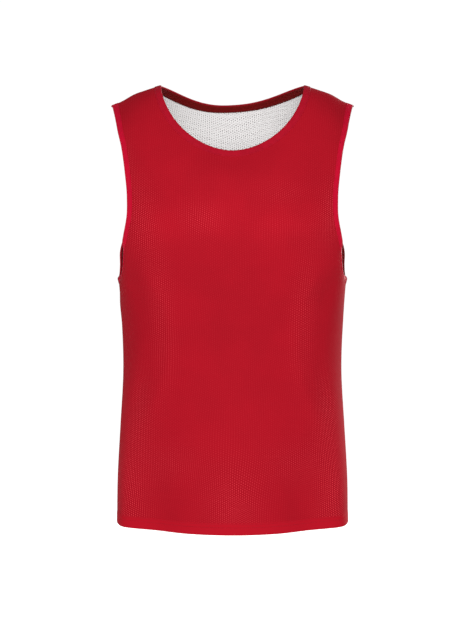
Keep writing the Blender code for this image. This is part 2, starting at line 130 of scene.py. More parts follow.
# The hem: its height at the side seams, its drop in the middle of a half, and its turned-up strip.
HEM_HEIGHT = -0.6610
HEM_DROP = 0.0030
INNER_HEM_RISE = 0.0060

# Large folds: ridges (depth over 0) and hollows. The turn goes round the body from the middle of the
# front (0) over the right side seam (90) and the middle of the back (180) to the left side seam (-90).
# The lean turns a fold by so many degrees for each metre of height.
Fold = namedtuple("Fold", "turn height lean half_turn half_height depth")
FOLDS = (
    Fold(-73.0, -0.385, 0.0, 19.0, 0.100, -0.0045),
    Fold(73.0, -0.395, 0.0, 19.0, 0.105, -0.0045),
    Fold(-43.0, -0.345, 30.0, 9.0, 0.105, 0.0032),
    Fold(43.0, -0.370, -30.0, 9.0, 0.100, 0.0030),
    Fold(1.0, -0.665, 0.0, 18.0, 0.130, 0.0036),
    Fold(-41.0, -0.665, 12.0, 14.5, 0.110, -0.0088),
    Fold(41.5, -0.670, -16.0, 14.5, 0.120, -0.0088),
    Fold(-64.0, -0.660, 0.0, 10.5, 0.115, 0.0062),
    Fold(64.0, -0.665, 0.0, 10.5, 0.120, 0.0062),
    Fold(-112.0, -0.410, 0.0, 17.0, 0.105, -0.0042),
    Fold(110.0, -0.380, 0.0, 18.0, 0.110, -0.0045),
    Fold(-144.0, -0.430, -35.0, 9.0, 0.120, 0.0030),
    Fold(141.0, -0.400, 25.0, 10.0, 0.110, 0.0032),
    Fold(176.0, -0.540, 12.0, 12.0, 0.120, -0.0035),
    Fold(-153.0, -0.640, 0.0, 11.0, 0.110, 0.0040),
    Fold(146.0, -0.650, 0.0, 13.0, 0.100, -0.0060),
    Fold(-128.0, -0.660, 10.0, 12.0, 0.100, -0.0050),
)

# Smaller creases: soft ridges (depth over 0) and troughs, each along a path of (turn, height) places.
Crease = namedtuple("Crease", "half_width depth path")
CREASES = (
    # The front: a slope towards the neck edge, and a shallow dip between the two sides of the chest.
    Crease(
        0.021,
        -0.0070,
        (
            (-34, 0.040), (-31, 0.000), (-26, -0.040), (-15, -0.074), (0, -0.088), (15, -0.074),
            (26, -0.040), (31, 0.000), (34, 0.040),
        ),
    ),
    Crease(
        0.030,
        0.0062,
        (
            (-43, 0.000), (-39, -0.045), (-31, -0.092), (-17, -0.124), (0, -0.136), (17, -0.124),
            (31, -0.092), (39, -0.045), (43, 0.000),
        ),
    ),
    Crease(0.022, -0.0022, ((0, -0.150), (1, -0.195), (-1, -0.245))),
    # The long soft fold down each side of the front, from below the armhole to above the hem.
    Crease(
        0.009,
        0.0018,
        (
            (-50, -0.250), (-43, -0.278), (-34, -0.318), (-32, -0.360), (-33, -0.400), (-38, -0.445),
            (-50, -0.500),
        ),
    ),
    Crease(
        0.018,
        -0.0024,
        (
            (-64, -0.262), (-56, -0.288), (-47, -0.322), (-45, -0.362), (-46, -0.402), (-52, -0.448),
            (-64, -0.500),
        ),
    ),
    Crease(
        0.009,
        0.0018,
        (
            (50, -0.246), (43, -0.275), (35, -0.315), (33, -0.362), (34, -0.405), (38, -0.450),
            (49, -0.505),
        ),
    ),
    Crease(
        0.018,
        -0.0024,
        (
            (64, -0.258), (56, -0.285), (48, -0.320), (46, -0.364), (47, -0.406), (52, -0.452),
            (63, -0.505),
        ),
    ),
    # Where the cloth turns in at the lower front of each armhole.
    Crease(0.010, -0.0048, ((-58, -0.222), (-64, -0.242), (-68, -0.258), (-76, -0.272), (-84, -0.279))),
    Crease(0.010, -0.0048, ((58, -0.222), (64, -0.242), (68, -0.258), (76, -0.272), (84, -0.279))),
    # The back: slanting folds under the shoulder blades, and long ones towards the hem.
    Crease(0.016, 0.0034, ((-162, -0.150), (-150, -0.215), (-141, -0.290))),
    Crease(0.013, -0.0032, ((-152, -0.140), (-140, -0.205), (-130, -0.270))),
    Crease(0.017, 0.0036, ((160, -0.165), (149, -0.225), (143, -0.300))),
    Crease(0.014, -0.0030, ((150, -0.150), (139, -0.200), (131, -0.250))),
    Crease(0.012, 0.0026, ((-170, -0.330), (-158, -0.395), (-149, -0.470))),
    Crease(0.013, 0.0028, ((168, -0.350), (155, -0.430), (149, -0.510))),
    Crease(0.015, -0.0032, ((-166, -0.420), (-163, -0.520), (-167, -0.620))),
    Crease(0.012, 0.0026, ((172, -0.520), (168, -0.600), (171, -0.690))),
    Crease(0.016, -0.0030, ((155, -0.570), (159, -0.630), (156, -0.700))),
    Crease(0.012, 0.0020, ((-176, -0.560), (-178, -0.630), (-174, -0.700))),
    # The sides: soft folds that hang from the underarms.
    Crease(0.012, 0.0030, ((-96, -0.285), (-102, -0.350), (-109, -0.440))),
    Crease(0.011, -0.0020, ((-88, -0.300), (-92, -0.380), (-97, -0.470))),
    Crease(0.012, 0.0028, ((97, -0.287), (104, -0.360), (107, -0.455))),
    Crease(0.011, -0.0020, ((89, -0.310), (93, -0.395), (96, -0.460))),
    Crease(0.014, 0.0024, ((-118, -0.520), (-113, -0.600), (-116, -0.700))),
    Crease(0.013, 0.0022, ((119, -0.500), (123, -0.590), (118, -0.690))),
)
CREASE_TURN_RADIUS = 0.150
CREASE_STEPS = 24
CREASE_FADE = 0.25

# A half: its name, which way it faces along Y, the height where it starts to roll inwards on its way
# up to the shoulder line, how much higher than that line it would reach behind the cut-out neck, and
# its neck and armhole edges.
Half = namedtuple("Half", "name facing roll_height middle_lift neck armhole")
FRONT = Half("front", -1, -0.240, 0.0, FRONT_NECK, FRONT_ARMHOLE)
BACK = Half("back", 1, -0.140, 0.028, BACK_NECK, BACK_ARMHOLE)
MIDDLE_LIFT_REACH = 0.105

# The bindings' edges pucker where their two ends are sewn together.
Pucker = namedtuple("Pucker", "outward towards_opening reach")
UNDERARM_PUCKER = Pucker(outward=0.0013, towards_opening=0.0, reach=0.009)
TIP_PUCKER = Pucker(outward=0.0, towards_opening=0.0018, reach=0.0035)

# The panel grid. Columns run from the left side seam to the right one. The armhole's curve turns
# from across to up at the armhole column, and the neck's curve does so at the neck column.
COLUMNS = 112
ARMHOLE_COLUMN = 16
NECK_COLUMN = 36
BODY_ROWS = 84
CHEST_ROWS = 34
STRAP_ROWS = 34
ARMHOLE_TURN_SHARE = 0.17
STRAP_START_SHARE = 0.62
NECK_TURN_SHARE = 0.50

# Extra rows close to the hem and to the seams, where the cloth rolls in.
HEM_LINES = (
    (0.0, 0.00012, 0.0004, 0.0009, 0.0018, 0.0045, 0.0080)
    + (0.0108, 0.0115, 0.0122, 0.0145, 0.0158, 0.0165, 0.0172)
)
HEM_TOP = 0.0185
SEAM_SHARES = (0.12, 0.30, 0.60)

# Steps for the sheet's slopes, and the close places along an edge.
SMALL_ANGLE = 1e-4
SMALL_RUN = 1e-5
CURVE_SAMPLES = 600


# --- The sheet ---------------------------------------------------------------------------------------


def smooth_curve(places, values, wanted):
    """A smooth curve through the table's values, read at the wanted places."""
    places = np.asarray(places, float)
    values = np.asarray(values, float)
    slopes = np.gradient(values, places)
    wanted = np.clip(wanted, places[0], places[-1])
    before = np.clip(np.searchsorted(places, wanted) - 1, 0, len(places) - 2)
    gap = places[before + 1] - places[before]
    t = (wanted - places[before]) / gap
    value = values[before] * (1 + 2 * t) * (1 - t) ** 2
    value = value + values[before + 1] * t * t * (3 - 2 * t)
    value = value + slopes[before] * gap * t * (1 - t) ** 2
    return value - slopes[before + 1] * gap * t * t * (1 - t)


def column_of(table, name):
    return [getattr(row, name) for row in table]


def body_value(name, height):
    """One column of the body table, read at any height."""
    return smooth_curve(column_of(BODY, "height"), column_of(BODY, name), height)


SHOULDER_HALF_WIDTH = BODY[-1].half_width


def shoulder_height(across):
    """The shoulder line's height at a distance from the middle."""
    return smooth_curve(column_of(SHOULDER, "across"), column_of(SHOULDER, "height"), np.abs(across))


def turn_of(half, angle):
    """Degrees round the body from the middle of the front."""
    return np.degrees(angle) if half.facing < 0 else 180.0 - np.degrees(angle)


def turned_between(turn, start):
    """The turn from start to turn, the short way round, in degrees."""
    return (turn - start + 180.0) % 360.0 - 180.0


def nearness(spot, turn, height):
    """1 in the middle of a fold or a spot, and less and less away from it."""
    aside = turned_between(turn, spot.turn) / spot.half_turn
    above = (height - spot.height) / spot.half_height
    return np.exp(-aside * aside - above * above)


def fold_bulge(half, angle, height):
    """How far the large folds push the sheet outwards."""
    turn = turn_of(half, angle)
    bulge = np.zeros(np.broadcast(angle, height).shape)
    for fold in FOLDS:
        upright = turn - fold.lean * (height - fold.height)
        bulge = bulge + fold.depth * nearness(fold, upright, height)
    return bulge


def crease_path(crease):
    """Close places along the crease, in metres round and up, and its depth at each, fading at its ends."""
    path = np.array(crease.path, float) * (np.radians(CREASE_TURN_RADIUS), 1.0)
    along = np.concatenate(([0.0], np.cumsum(np.linalg.norm(np.diff(path, axis=0), axis=1))))
    share = np.linspace(0.0, 1.0, CREASE_STEPS)
    places = [smooth_curve(along, path[:, axis], share * along[-1]) for axis in (0, 1)]
    fade = np.clip(np.minimum(share, 1.0 - share) / CREASE_FADE, 0.0, 1.0)
    return np.column_stack(places), crease.depth * fade * fade * (3.0 - 2.0 * fade)


def crease_bulge(half, angle, height):
    """How far the smaller creases push the sheet outwards."""
    turn, height = np.broadcast_arrays(turn_of(half, angle), height)
    bulge = np.zeros(turn.shape)
    for crease, (places, depths) in zip(CREASES, CREASE_PATHS):
        middle = crease.path[len(crease.path) // 2][0]
        round_body = np.radians(turned_between(turn, middle) + middle) * CREASE_TURN_RADIUS
        reach = 3.0 * crease.half_width
        near = (height > places[:, 1].min() - reach) & (height < places[:, 1].max() + reach)
        near &= (round_body > places[:, 0].min() - reach) & (round_body < places[:, 0].max() + reach)
        if not near.any():
            continue
        across, up = round_body[near][:, None], height[near][:, None]
        start, step = places[:-1], np.diff(places, axis=0)
        along = ((across - start[:, 0]) * step[:, 0] + (up - start[:, 1]) * step[:, 1]) / (step**2).sum(1)
        along = np.clip(along, 0.0, 1.0)
        away = np.hypot(across - start[:, 0] - along * step[:, 0], up - start[:, 1] - along * step[:, 1])
        nearest = away.argmin(axis=1)
        row = np.arange(len(nearest))
        t = along[row, nearest]
        depth = (1.0 - t) * depths[nearest] + t * depths[nearest + 1]
        bulge[near] += depth * np.exp(-((away[row, nearest] / crease.half_width) ** 2))
    return bulge


CREASE_PATHS = [crease_path(crease) for crease in CREASES]


def sheet_rise(half, angle):
    """The height from where the half starts to roll inwards up to the shoulder line."""
    across = SHOULDER_HALF_WIDTH * np.sin(angle)
    lift = half.middle_lift * np.clip(1.0 - (across / MIDDLE_LIFT_REACH) ** 2, 0.0, 1.0) ** 2
    return shoulder_height(across) + lift - half.roll_height


def top_run(half, angle):
    """The run at which the sheet reaches the shoulder line."""
    return half.roll_height + sheet_rise(half, angle) * np.pi / 2


def run_at_height(half, angle, height):
    """The run at which the sheet has this height."""
    rise = sheet_rise(half, angle)
    share = np.clip((height - half.roll_height) / rise, -1.0, 1.0)
    return np.where(share < 0, height, half.roll_height + rise * np.arcsin(share))


def sheet_point(half, angle, run):
    """The sheet's points at these angles and runs, with the last axis for x, y and z."""
    rise = sheet_rise(half, angle)
    roll = np.maximum(run - half.roll_height, 0.0) / rise
    height = np.where(run < half.roll_height, run, half.roll_height + rise * np.sin(roll))
    squareness = body_value("squareness", height)
    corner = np.abs(np.sin(angle)) ** squareness + np.abs(np.cos(angle)) ** squareness
    reach = corner ** (-1.0 / squareness)
    bulge = fold_bulge(half, angle, height) + crease_bulge(half, angle, height)
    half_width = body_value("half_width", height) * reach + bulge
    depth = (body_value(half.name + "_depth", height) * reach + bulge) * np.cos(roll)
    return np.stack((half_width * np.sin(angle), half.facing * depth * np.cos(angle), height), axis=-1)


def sheet_directions(half, angle, run):
    """The sheet's rates of change across and up at these places."""
    across = sheet_point(half, angle + SMALL_ANGLE, run) - sheet_point(half, angle - SMALL_ANGLE, run)
    up = sheet_point(half, angle, run + SMALL_RUN) - sheet_point(half, angle, run - SMALL_RUN)
    return across / (2 * SMALL_ANGLE), up / (2 * SMALL_RUN)


def unit(vectors):
    return vectors / np.linalg.norm(vectors, axis=-1, keepdims=True)


def sheet_normal(half, angle, run):
    """The sheet's outward normals."""
    across, up = sheet_directions(half, angle, run)
    return unit(-half.facing * np.cross(across, up))


def evenly_along(half, places, shares):
    """Places at these shares of the length of a curve that is given as close places on the sheet."""
    points = sheet_point(half, places[:, 0], places[:, 1])
    lengths = np.linalg.norm(np.diff(points, axis=0), axis=1)
    along = np.concatenate(([0.0], np.cumsum(lengths)))
    wanted = np.asarray(shares) * along[-1]
    return np.column_stack([np.interp(wanted, along, places[:, axis]) for axis in (0, 1)])


def neck_curve(half):
    """The neck edge of a half as close places, from the left shoulder line to the right one."""
    share = np.linspace(-1.0, 1.0, 2 * CURVE_SAMPLES + 1)
    turn = np.sign(share) * (1.0 - (1.0 - np.abs(share)) ** 2) * np.pi / 2
    across = NECK_HALF_WIDTH * np.sin(turn)
    dip = np.clip(1.0 - np.abs(np.sin(turn)) ** half.neck.fullness, 0.0, 1.0) ** half.neck.roundness
    height = shoulder_height(NECK_HALF_WIDTH) - half.neck.depth * dip
    height = height + half.neck.skew * np.sin(np.pi * across / NECK_HALF_WIDTH)
    angle = np.arcsin(across / body_value("half_width", height))
    run = run_at_height(half, angle, height)
    run[[0, -1]] = top_run(half, angle[[0, -1]])
    return np.column_stack((angle, run))


def armhole_curve(half):
    """The right armhole edge of a half as close places, from the underarm to the shoulder tip."""
    angle = np.radians(column_of(half.armhole, "degrees"))
    run = run_at_height(half, angle, np.array(column_of(half.armhole, "height")))
    tip_angle = np.arcsin(SHOULDER_TIP / SHOULDER_HALF_WIDTH)
    angle = np.append(angle, tip_angle)
    run = np.append(run, top_run(half, tip_angle))
    # One more place past each end, mirrored, makes the front and back edges meet with no kink.
    angle = np.concatenate(([np.pi - angle[1]], angle, [angle[-2]]))
    run = np.concatenate(([run[1]], run, [2 * run[-1] - run[-2]]))
    points = sheet_point(half, angle, run)
    along = np.concatenate(([0.0], np.cumsum(np.linalg.norm(np.diff(points, axis=0), axis=1))))
    wanted = np.linspace(along[1], along[-2], CURVE_SAMPLES)
    return np.column_stack((smooth_curve(along, angle, wanted), smooth_curve(along, run, wanted)))


# --- The finished edges ------------------------------------------------------------------------------


def joined_place(half, angle, run):
    """The nearest place on the side seam, below the chest, or else on the shoulder line."""
    if run < half.roll_height:
        return np.array((np.copysign(np.pi / 2, angle), run))
    return np.array((angle, top_run(half, angle)))


class EdgeLoop:
    """A finished edge, closed through the front and the back, that can be followed further in.

    The two stretches are runs of places, one on each half, that share their first and last points.
    """

    def __init__(self, front_places, back_places):
        self.front_count = len(front_places)
        self.front_half = np.arange(self.front_count + len(back_places) - 2) < self.front_count
        self.places = np.concatenate((front_places, back_places[1:-1]))
        self.edge = self.read(sheet_point, self.places)
        self.normal = self.read(sheet_normal, self.places)
        travel = unit(np.roll(self.edge, -1, axis=0) - np.roll(self.edge, 1, axis=0))
        self.opening = unit(np.cross(self.normal, travel))
        self.puckers = np.zeros_like(self.edge)

    def read(self, function, places):
        """A function of the sheet at each place, on the half that the place is on."""
        front = function(FRONT, places[:, 0], places[:, 1])
        back = function(BACK, places[:, 0], places[:, 1])
        return np.where(self.front_half[:, None], front, back)

    def places_inward(self, distance):
        """The places this far from the edge, along the sheet. The distance may vary along the loop."""
        distance = np.reshape(distance, (-1, 1))
        front = sheet_directions(FRONT, self.places[:, 0], self.places[:, 1])
        back = sheet_directions(BACK, self.places[:, 0], self.places[:, 1])
        across, up = [np.where(self.front_half[:, None], f, b) for f, b in zip(front, back)]
        move = -distance * self.opening
        aa, au, uu = (across * across).sum(1), (across * up).sum(1), (up * up).sum(1)
        ma, mu = (move * across).sum(1), (move * up).sum(1)
        size = aa * uu - au * au
        step = np.column_stack(((ma * uu - mu * au) / size, (mu * aa - ma * au) / size))
        places = self.places + step
        for i in (0, self.front_count - 1):
            places[i] = joined_place(FRONT, *places[i])
        return places

    def seam_of(self, half, distance):
        """The places this far in on one half, in the order in which the loop passes them."""
        places = self.places_inward(distance)
        if half is FRONT:
            return places[: self.front_count]
        ends = [joined_place(BACK, *places[i]) for i in (self.front_count - 1, 0)]
        return np.concatenate((ends[:1], places[self.front_count :], ends[1:]))

    def line(self, distance, width):
        """Points and normals this far in. A pucker of the edge dies out over the width."""
        places = self.places_inward(distance)
        share = np.clip(1.0 - np.reshape(distance, (-1, 1)) / width, 0.0, 1.0)
        return self.read(sheet_point, places) + share * self.puckers, self.read(sheet_normal, places)

    def pucker(self, i, pucker):
        """Moves the finished edge near one of its points, less and less away from it."""
        away = np.linalg.norm(self.edge - self.edge[i], axis=1) / pucker.reach
        share = np.exp(-away * away)[:, None]
        self.puckers = self.puckers + share * pucker.outward * self.normal
        self.puckers = self.puckers + share * pucker.towards_opening * self.opening


def spread(start, stop, count):
    """count equal steps from start to stop, without the start."""
    return list(np.linspace(start, stop, count + 1)[1:])


def neck_stations():
    """Shares of the neck edge of a half at the grid's rows and columns, from left to right."""
    strap = NECK_TURN_SHARE / 2
    middle = COLUMNS - 2 * NECK_COLUMN
    shares = [0.0] + spread(0.0, strap, STRAP_ROWS)
    return shares + spread(strap, 1.0 - strap, middle) + spread(1.0 - strap, 1.0, STRAP_ROWS)


def armhole_stations():
    """Shares of the armhole edge of a half at the grid's columns and rows, from the underarm up."""
    shares = [0.0] + spread(0.0, ARMHOLE_TURN_SHARE, ARMHOLE_COLUMN)
    shares += spread(ARMHOLE_TURN_SHARE, STRAP_START_SHARE, CHEST_ROWS)
    return shares + spread(STRAP_START_SHARE, 1.0, STRAP_ROWS)


def neck_loop(stations):
    """Rightwards over the front, then back over the back."""
    front, back = [evenly_along(half, neck_curve(half), stations) for half in (FRONT, BACK)]
    return EdgeLoop(front, back[::-1])


def armhole_loop(side, stations):
    """Round one armhole. side is 1 for the right one and -1 for the left one."""
    front, back = [evenly_along(half, armhole_curve(half), stations) for half in (FRONT, BACK)]
    if side > 0:
        front, back = front[::-1], back
        underarm, tip = len(front) - 1, 0
    else:
        mirror = np.array((-1.0, 1.0))
        front, back = front * mirror, back[::-1] * mirror
        underarm, tip = 0, len(front) - 1
    loop = EdgeLoop(front, back)
    loop.pucker(underarm, UNDERARM_PUCKER)
    loop.pucker(tip, TIP_PUCKER)
    return loop


# --- The panel grid ----------------------------------------------------------------------------------


def fill_block(grid, columns, rows, shares_across, shares_up):
    """Fills a block of the grid between its four sides, which the grid already holds."""
    left, right, low, high = columns[0], columns[-1], rows[0], rows[-1]
    for i, s in zip(columns[1:-1], shares_across[1:-1]):
        for j, t in zip(rows[1:-1], shares_up[1:-1]):
            sides = (1 - s) * grid[left, j] + s * grid[right, j]
            ends = (1 - t) * grid[i, low] + t * grid[i, high]
            corners = (1 - s) * (1 - t) * grid[left, low] + s * (1 - t) * grid[right, low]
            corners = corners + (1 - s) * t * grid[left, high] + s * t * grid[right, high]
            grid[i, j] = sides + ends - corners


def draw_line(grid, cells):
    """Even places between the first and last of these cells, which the grid already holds."""
    first, last = grid[cells[0]], grid[cells[-1]]
    for cell, t in zip(cells, np.linspace(0.0, 1.0, len(cells))):
        grid[cell] = (1 - t) * first + t * last


def hem_run(angle, rise):
    """The run of the hem's edge."""
    return HEM_HEIGHT - HEM_DROP * np.cos(angle) ** 2 + rise


def split_between(grid, first, second, shares, by_column):
    """Adds lines of cells between two neighbouring columns, or rows, at these shares of the way."""
    axis = 0 if by_column else 1
    for cell in [cell for cell in grid if cell[axis] == first]:
        other = (second, cell[1]) if by_column else (cell[0], second)
        if other not in grid:
            continue
        for share in shares:
            place = first + share * (second - first)
            key = (place, cell[1]) if by_column else (cell[0], place)
            grid[key] = (1 - share) * grid[cell] + share * grid[other]


def panel_grid(half, edges, hem_rise):
    """The places of one panel, keyed by (column, row). edges hold its neck and armhole borders."""
    last = COLUMNS
    turn_row = BODY_ROWS
    strap_row = turn_row + CHEST_ROWS
    top_row = strap_row + STRAP_ROWS
    grid = {}
    for step in range(ARMHOLE_COLUMN + 1):
        grid[step, turn_row] = edges.left[step]
        grid[last - step, turn_row] = edges.right[step]
    for step in range(CHEST_ROWS + STRAP_ROWS + 1):
        grid[ARMHOLE_COLUMN, turn_row + step] = edges.left[ARMHOLE_COLUMN + step]
        grid[last - ARMHOLE_COLUMN, turn_row + step] = edges.right[ARMHOLE_COLUMN + step]
    for step in range(STRAP_ROWS + 1):
        grid[NECK_COLUMN, top_row - step] = edges.neck[step]
        grid[last - NECK_COLUMN, top_row - step] = edges.neck[-1 - step]
    for column in range(NECK_COLUMN, last - NECK_COLUMN + 1):
        grid[column, strap_row] = edges.neck[STRAP_ROWS + column - NECK_COLUMN]

    # The rows of the hem, then the body up to the underarm.
    hem_rows = len(HEM_LINES)
    for column in range(last + 1):
        angle = np.pi * (column / last - 0.5)
        for row, above in enumerate(HEM_LINES + (HEM_TOP,)):
            grid[column, row] = np.array((angle, hem_run(angle, hem_rise) + above))
    body_rows = list(range(hem_rows, turn_row + 1))
    for column in (0, last):
        draw_line(grid, [(column, row) for row in body_rows])
    inner_columns = list(range(ARMHOLE_COLUMN, last - ARMHOLE_COLUMN + 1))
    draw_line(grid, [(column, turn_row) for column in inner_columns])
    all_columns = list(range(last + 1))
    up = np.linspace(0.0, 1.0, len(body_rows))
    fill_block(grid, all_columns, body_rows, np.linspace(0.0, 1.0, last + 1), up)

    # The chest between the armholes, then the two straps.
    straps = (
        list(range(ARMHOLE_COLUMN, NECK_COLUMN + 1)),
        list(range(last - NECK_COLUMN, last - ARMHOLE_COLUMN + 1)),
    )
    strap_rows = list(range(strap_row, top_row + 1))
    for columns in straps:
        for row in (strap_row, top_row):
            draw_line(grid, [(column, row) for column in columns])
    chest_rows = list(range(turn_row, strap_row + 1))
    up = np.linspace(0.0, 1.0, len(chest_rows))
    fill_block(grid, inner_columns, chest_rows, np.linspace(0.0, 1.0, len(inner_columns)), up)
    for columns in straps:
        up = np.linspace(0.0, 1.0, len(strap_rows))
        fill_block(grid, columns, strap_rows, np.linspace(0.0, 1.0, len(columns)), up)
        for column in columns:
            angle = grid[column, top_row][0]
            grid[column, top_row] = np.array((angle, top_run(half, angle)))

    from_seam = SEAM_SHARES
    to_seam = tuple(1.0 - share for share in SEAM_SHARES)
    split_between(grid, 0, 1, from_seam, True)
    split_between(grid, last - 1, last, to_seam, True)
    split_between(grid, top_row - 1, top_row, to_seam, False)
    return grid


def panel_faces(grid):
    """The grid's squares as lists of cells, facing outwards on the front half."""
    columns = sorted({column for column, _ in grid})
    rows = sorted({row for _, row in grid})
    neck_row = BODY_ROWS + CHEST_ROWS
    faces = []
    for left, right in zip(columns, columns[1:]):
        for low, high in zip(rows, rows[1:]):
            corners = [(left, low), (right, low), (right, high), (left, high)]
            in_neck = low >= neck_row and NECK_COLUMN <= left < COLUMNS - NECK_COLUMN
            if not in_neck and all(corner in grid for corner in corners):
                faces.append(corners)
    return faces


# The knit is pulled a little out of line: slow waves in its rows and columns.
Pull = namedtuple("Pull", "across_wave up_wave start depth")
PULLS = (
    Pull(0.260, 0.340, 0.4, 0.0030),
    Pull(-0.190, 0.230, 2.1, 0.0020),
    Pull(0.110, 0.140, 4.0, 0.0008),
)

# The rows of holes dip to the middle of the back, just below its neck edge.
ROW_DIP = 0.22
ROW_DIP_ROUND = 0.010
ROW_DIP_TOP = -0.030
ROW_DIP_REACH = 0.085


def pulled(first, second):
    """How far the knit is pulled along the first of its two directions."""
    waves = [(2 * np.pi * (first / p.across_wave + second / p.up_wave) + p.start, p.depth) for p in PULLS]
    return sum(depth * np.sin(phase) for phase, depth in waves)


class Grain:
    """Where the cloth's threads run: distances in metres from the middle and from the hem's edge."""

    STEPS_ACROSS = 181
    STEPS_UP = 320
    TOP_RUN = 0.18

    def __init__(self, half):
        self.half = half
        self.angles = np.linspace(-np.pi / 2, np.pi / 2, self.STEPS_ACROSS)
        self.runs = np.linspace(HEM_HEIGHT - HEM_DROP, self.TOP_RUN, self.STEPS_UP)
        points = sheet_point(half, self.angles[:, None], self.runs[None, :])
        across = np.linalg.norm(np.diff(points, axis=0), axis=-1)
        up = np.linalg.norm(np.diff(points, axis=1), axis=-1)
        self.across = np.zeros(points.shape[:2])
        self.across[1:] = np.cumsum(across, axis=0)
        self.across -= self.across[self.STEPS_ACROSS // 2]
        self.up = np.zeros(points.shape[:2])
        self.up[:, 1:] = np.cumsum(up, axis=1)

    def read(self, table, angle, run):
        """The table's value between its nearest four entries."""
        i = (angle - self.angles[0]) / (self.angles[1] - self.angles[0])
        j = (run - self.runs[0]) / (self.runs[1] - self.runs[0])
        i, j = np.clip(i, 0, self.STEPS_ACROSS - 1.001), np.clip(j, 0, self.STEPS_UP - 1.001)
        a, b = i.astype(int), j.astype(int)
        s, t = i - a, j - b
        low = (1 - s) * table[a, b] + s * table[a + 1, b]
        high = (1 - s) * table[a, b + 1] + s * table[a + 1, b + 1]
        return (1 - t) * low + t * high

    def at(self, places, hem_rise):
        """The thread distances at these places, with the knit's dip and pulls."""
        angle, run = places[:, 0], places[:, 1]
        across = self.read(self.across, angle, run)
        up = self.read(self.up, angle, run) - self.read(self.up, angle, hem_run(angle, hem_rise))
        if self.half is BACK:
            near = np.exp(-(np.minimum(run - ROW_DIP_TOP, 0.0) / ROW_DIP_REACH) ** 2)
            up = up - ROW_DIP * near * np.hypot(across, ROW_DIP_ROUND)
        return np.column_stack((across + pulled(across, up), up + pulled(up, across)))


# --- Meshes ------------------------------------------------------------------------------------------


def add_mesh_object(name, points, faces, uv, material):
    """A mesh object with one UV place for each point, shaded smooth."""
    mesh = bpy.data.meshes.new(name)
    mesh.from_pydata(points.tolist(), [], faces)
    layer = mesh.uv_layers.new(name="Grain")
    corners = np.empty(len(mesh.loops), np.int32)
    mesh.loops.foreach_get("vertex_index", corners)
    layer.data.foreach_set("uv", np.asarray(uv, np.float32)[corners].ravel())
    mesh.shade_smooth()
    mesh.materials.append(material)
    obj = bpy.data.objects.new(name, mesh)
    bpy.context.scene.collection.objects.link(obj)
    return obj


def thicken(obj, thickness):
    """Gives a sheet its thickness, away from the side that it faces."""
    wall = obj.modifiers.new("Cloth thickness", "SOLIDIFY")
    wall.thickness = thickness
    wall.offset = -1.0
    wall.use_rim = True
    bpy.ops.object.select_all(action="DESELECT")
    bpy.context.view_layer.objects.active = obj
    obj.select_set(True)
    bpy.ops.object.modifier_apply(modifier=wall.name)


def dress(obj, node):
    """Puts a finished piece on the frame, in place of a CAD node where one is given."""
    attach(obj, "root")
    if node:
        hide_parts(node)


PanelEdges = namedtuple("PanelEdges", "neck left right")
# How far the panels' borders lie inside the bindings, from the finished edge.
PANEL_TUCK = 0.0045
# How far the cloth rolls in at the hem's edge and along the side and shoulder seams, and how close to them.
ROLL_IN = 0.0007
ROLL_IN_REACH = 0.0011
# The hem's turned-up strip stands out as far as its seam, with a dip along each row of stitches.
HEM_PROUD = 0.0004
HEM_SEAM = 0.0172
HEM_SEAM_SOFTNESS = 0.0004
HEM_STITCH_LINES = (0.0115, 0.0165)
HEM_STATIONS = 361
HEM_STITCH_DIP = 0.0003
HEM_DIP_HALF_WIDTH = 0.0005
# Past this many times its softness, the seam's step has all but ended.
STEP_END = 50.0
# A panel's width from side seam to side seam, and the height of a row of its grid below the shoulder.
PANEL_GIRTH = np.pi * 0.15
STRAP_ROW_HEIGHT = 0.0035


def panel_edges(half):
    """The borders of a half's panels, with the armholes counted from the underarm up."""
    neck = neck_loop(neck_stations()).seam_of(half, PANEL_TUCK)
    left = armhole_loop(-1, armhole_stations()).seam_of(half, PANEL_TUCK)
    right = armhole_loop(1, armhole_stations()).seam_of(half, PANEL_TUCK)
    if half is FRONT:
        return PanelEdges(neck, left, right[::-1])
    return PanelEdges(neck[::-1], left[::-1], right)


def hem_offset(above):
    """How far the hem stands out, by the distance above its edge: a fold, a proud strip, two dips."""
    past = np.minimum((above - HEM_SEAM) / HEM_SEAM_SOFTNESS, STEP_END)
    proud = HEM_PROUD / (1.0 + np.exp(past))
    edge = np.clip(1.0 - above / ROLL_IN, 0.0, 1.0)
    fold = ROLL_IN * (1.0 - np.sqrt(1.0 - edge**2))
    dips = sum(np.exp(-(((above - line) / HEM_DIP_HALF_WIDTH) ** 2)) for line in HEM_STITCH_LINES)
    return proud - fold - HEM_STITCH_DIP * dips


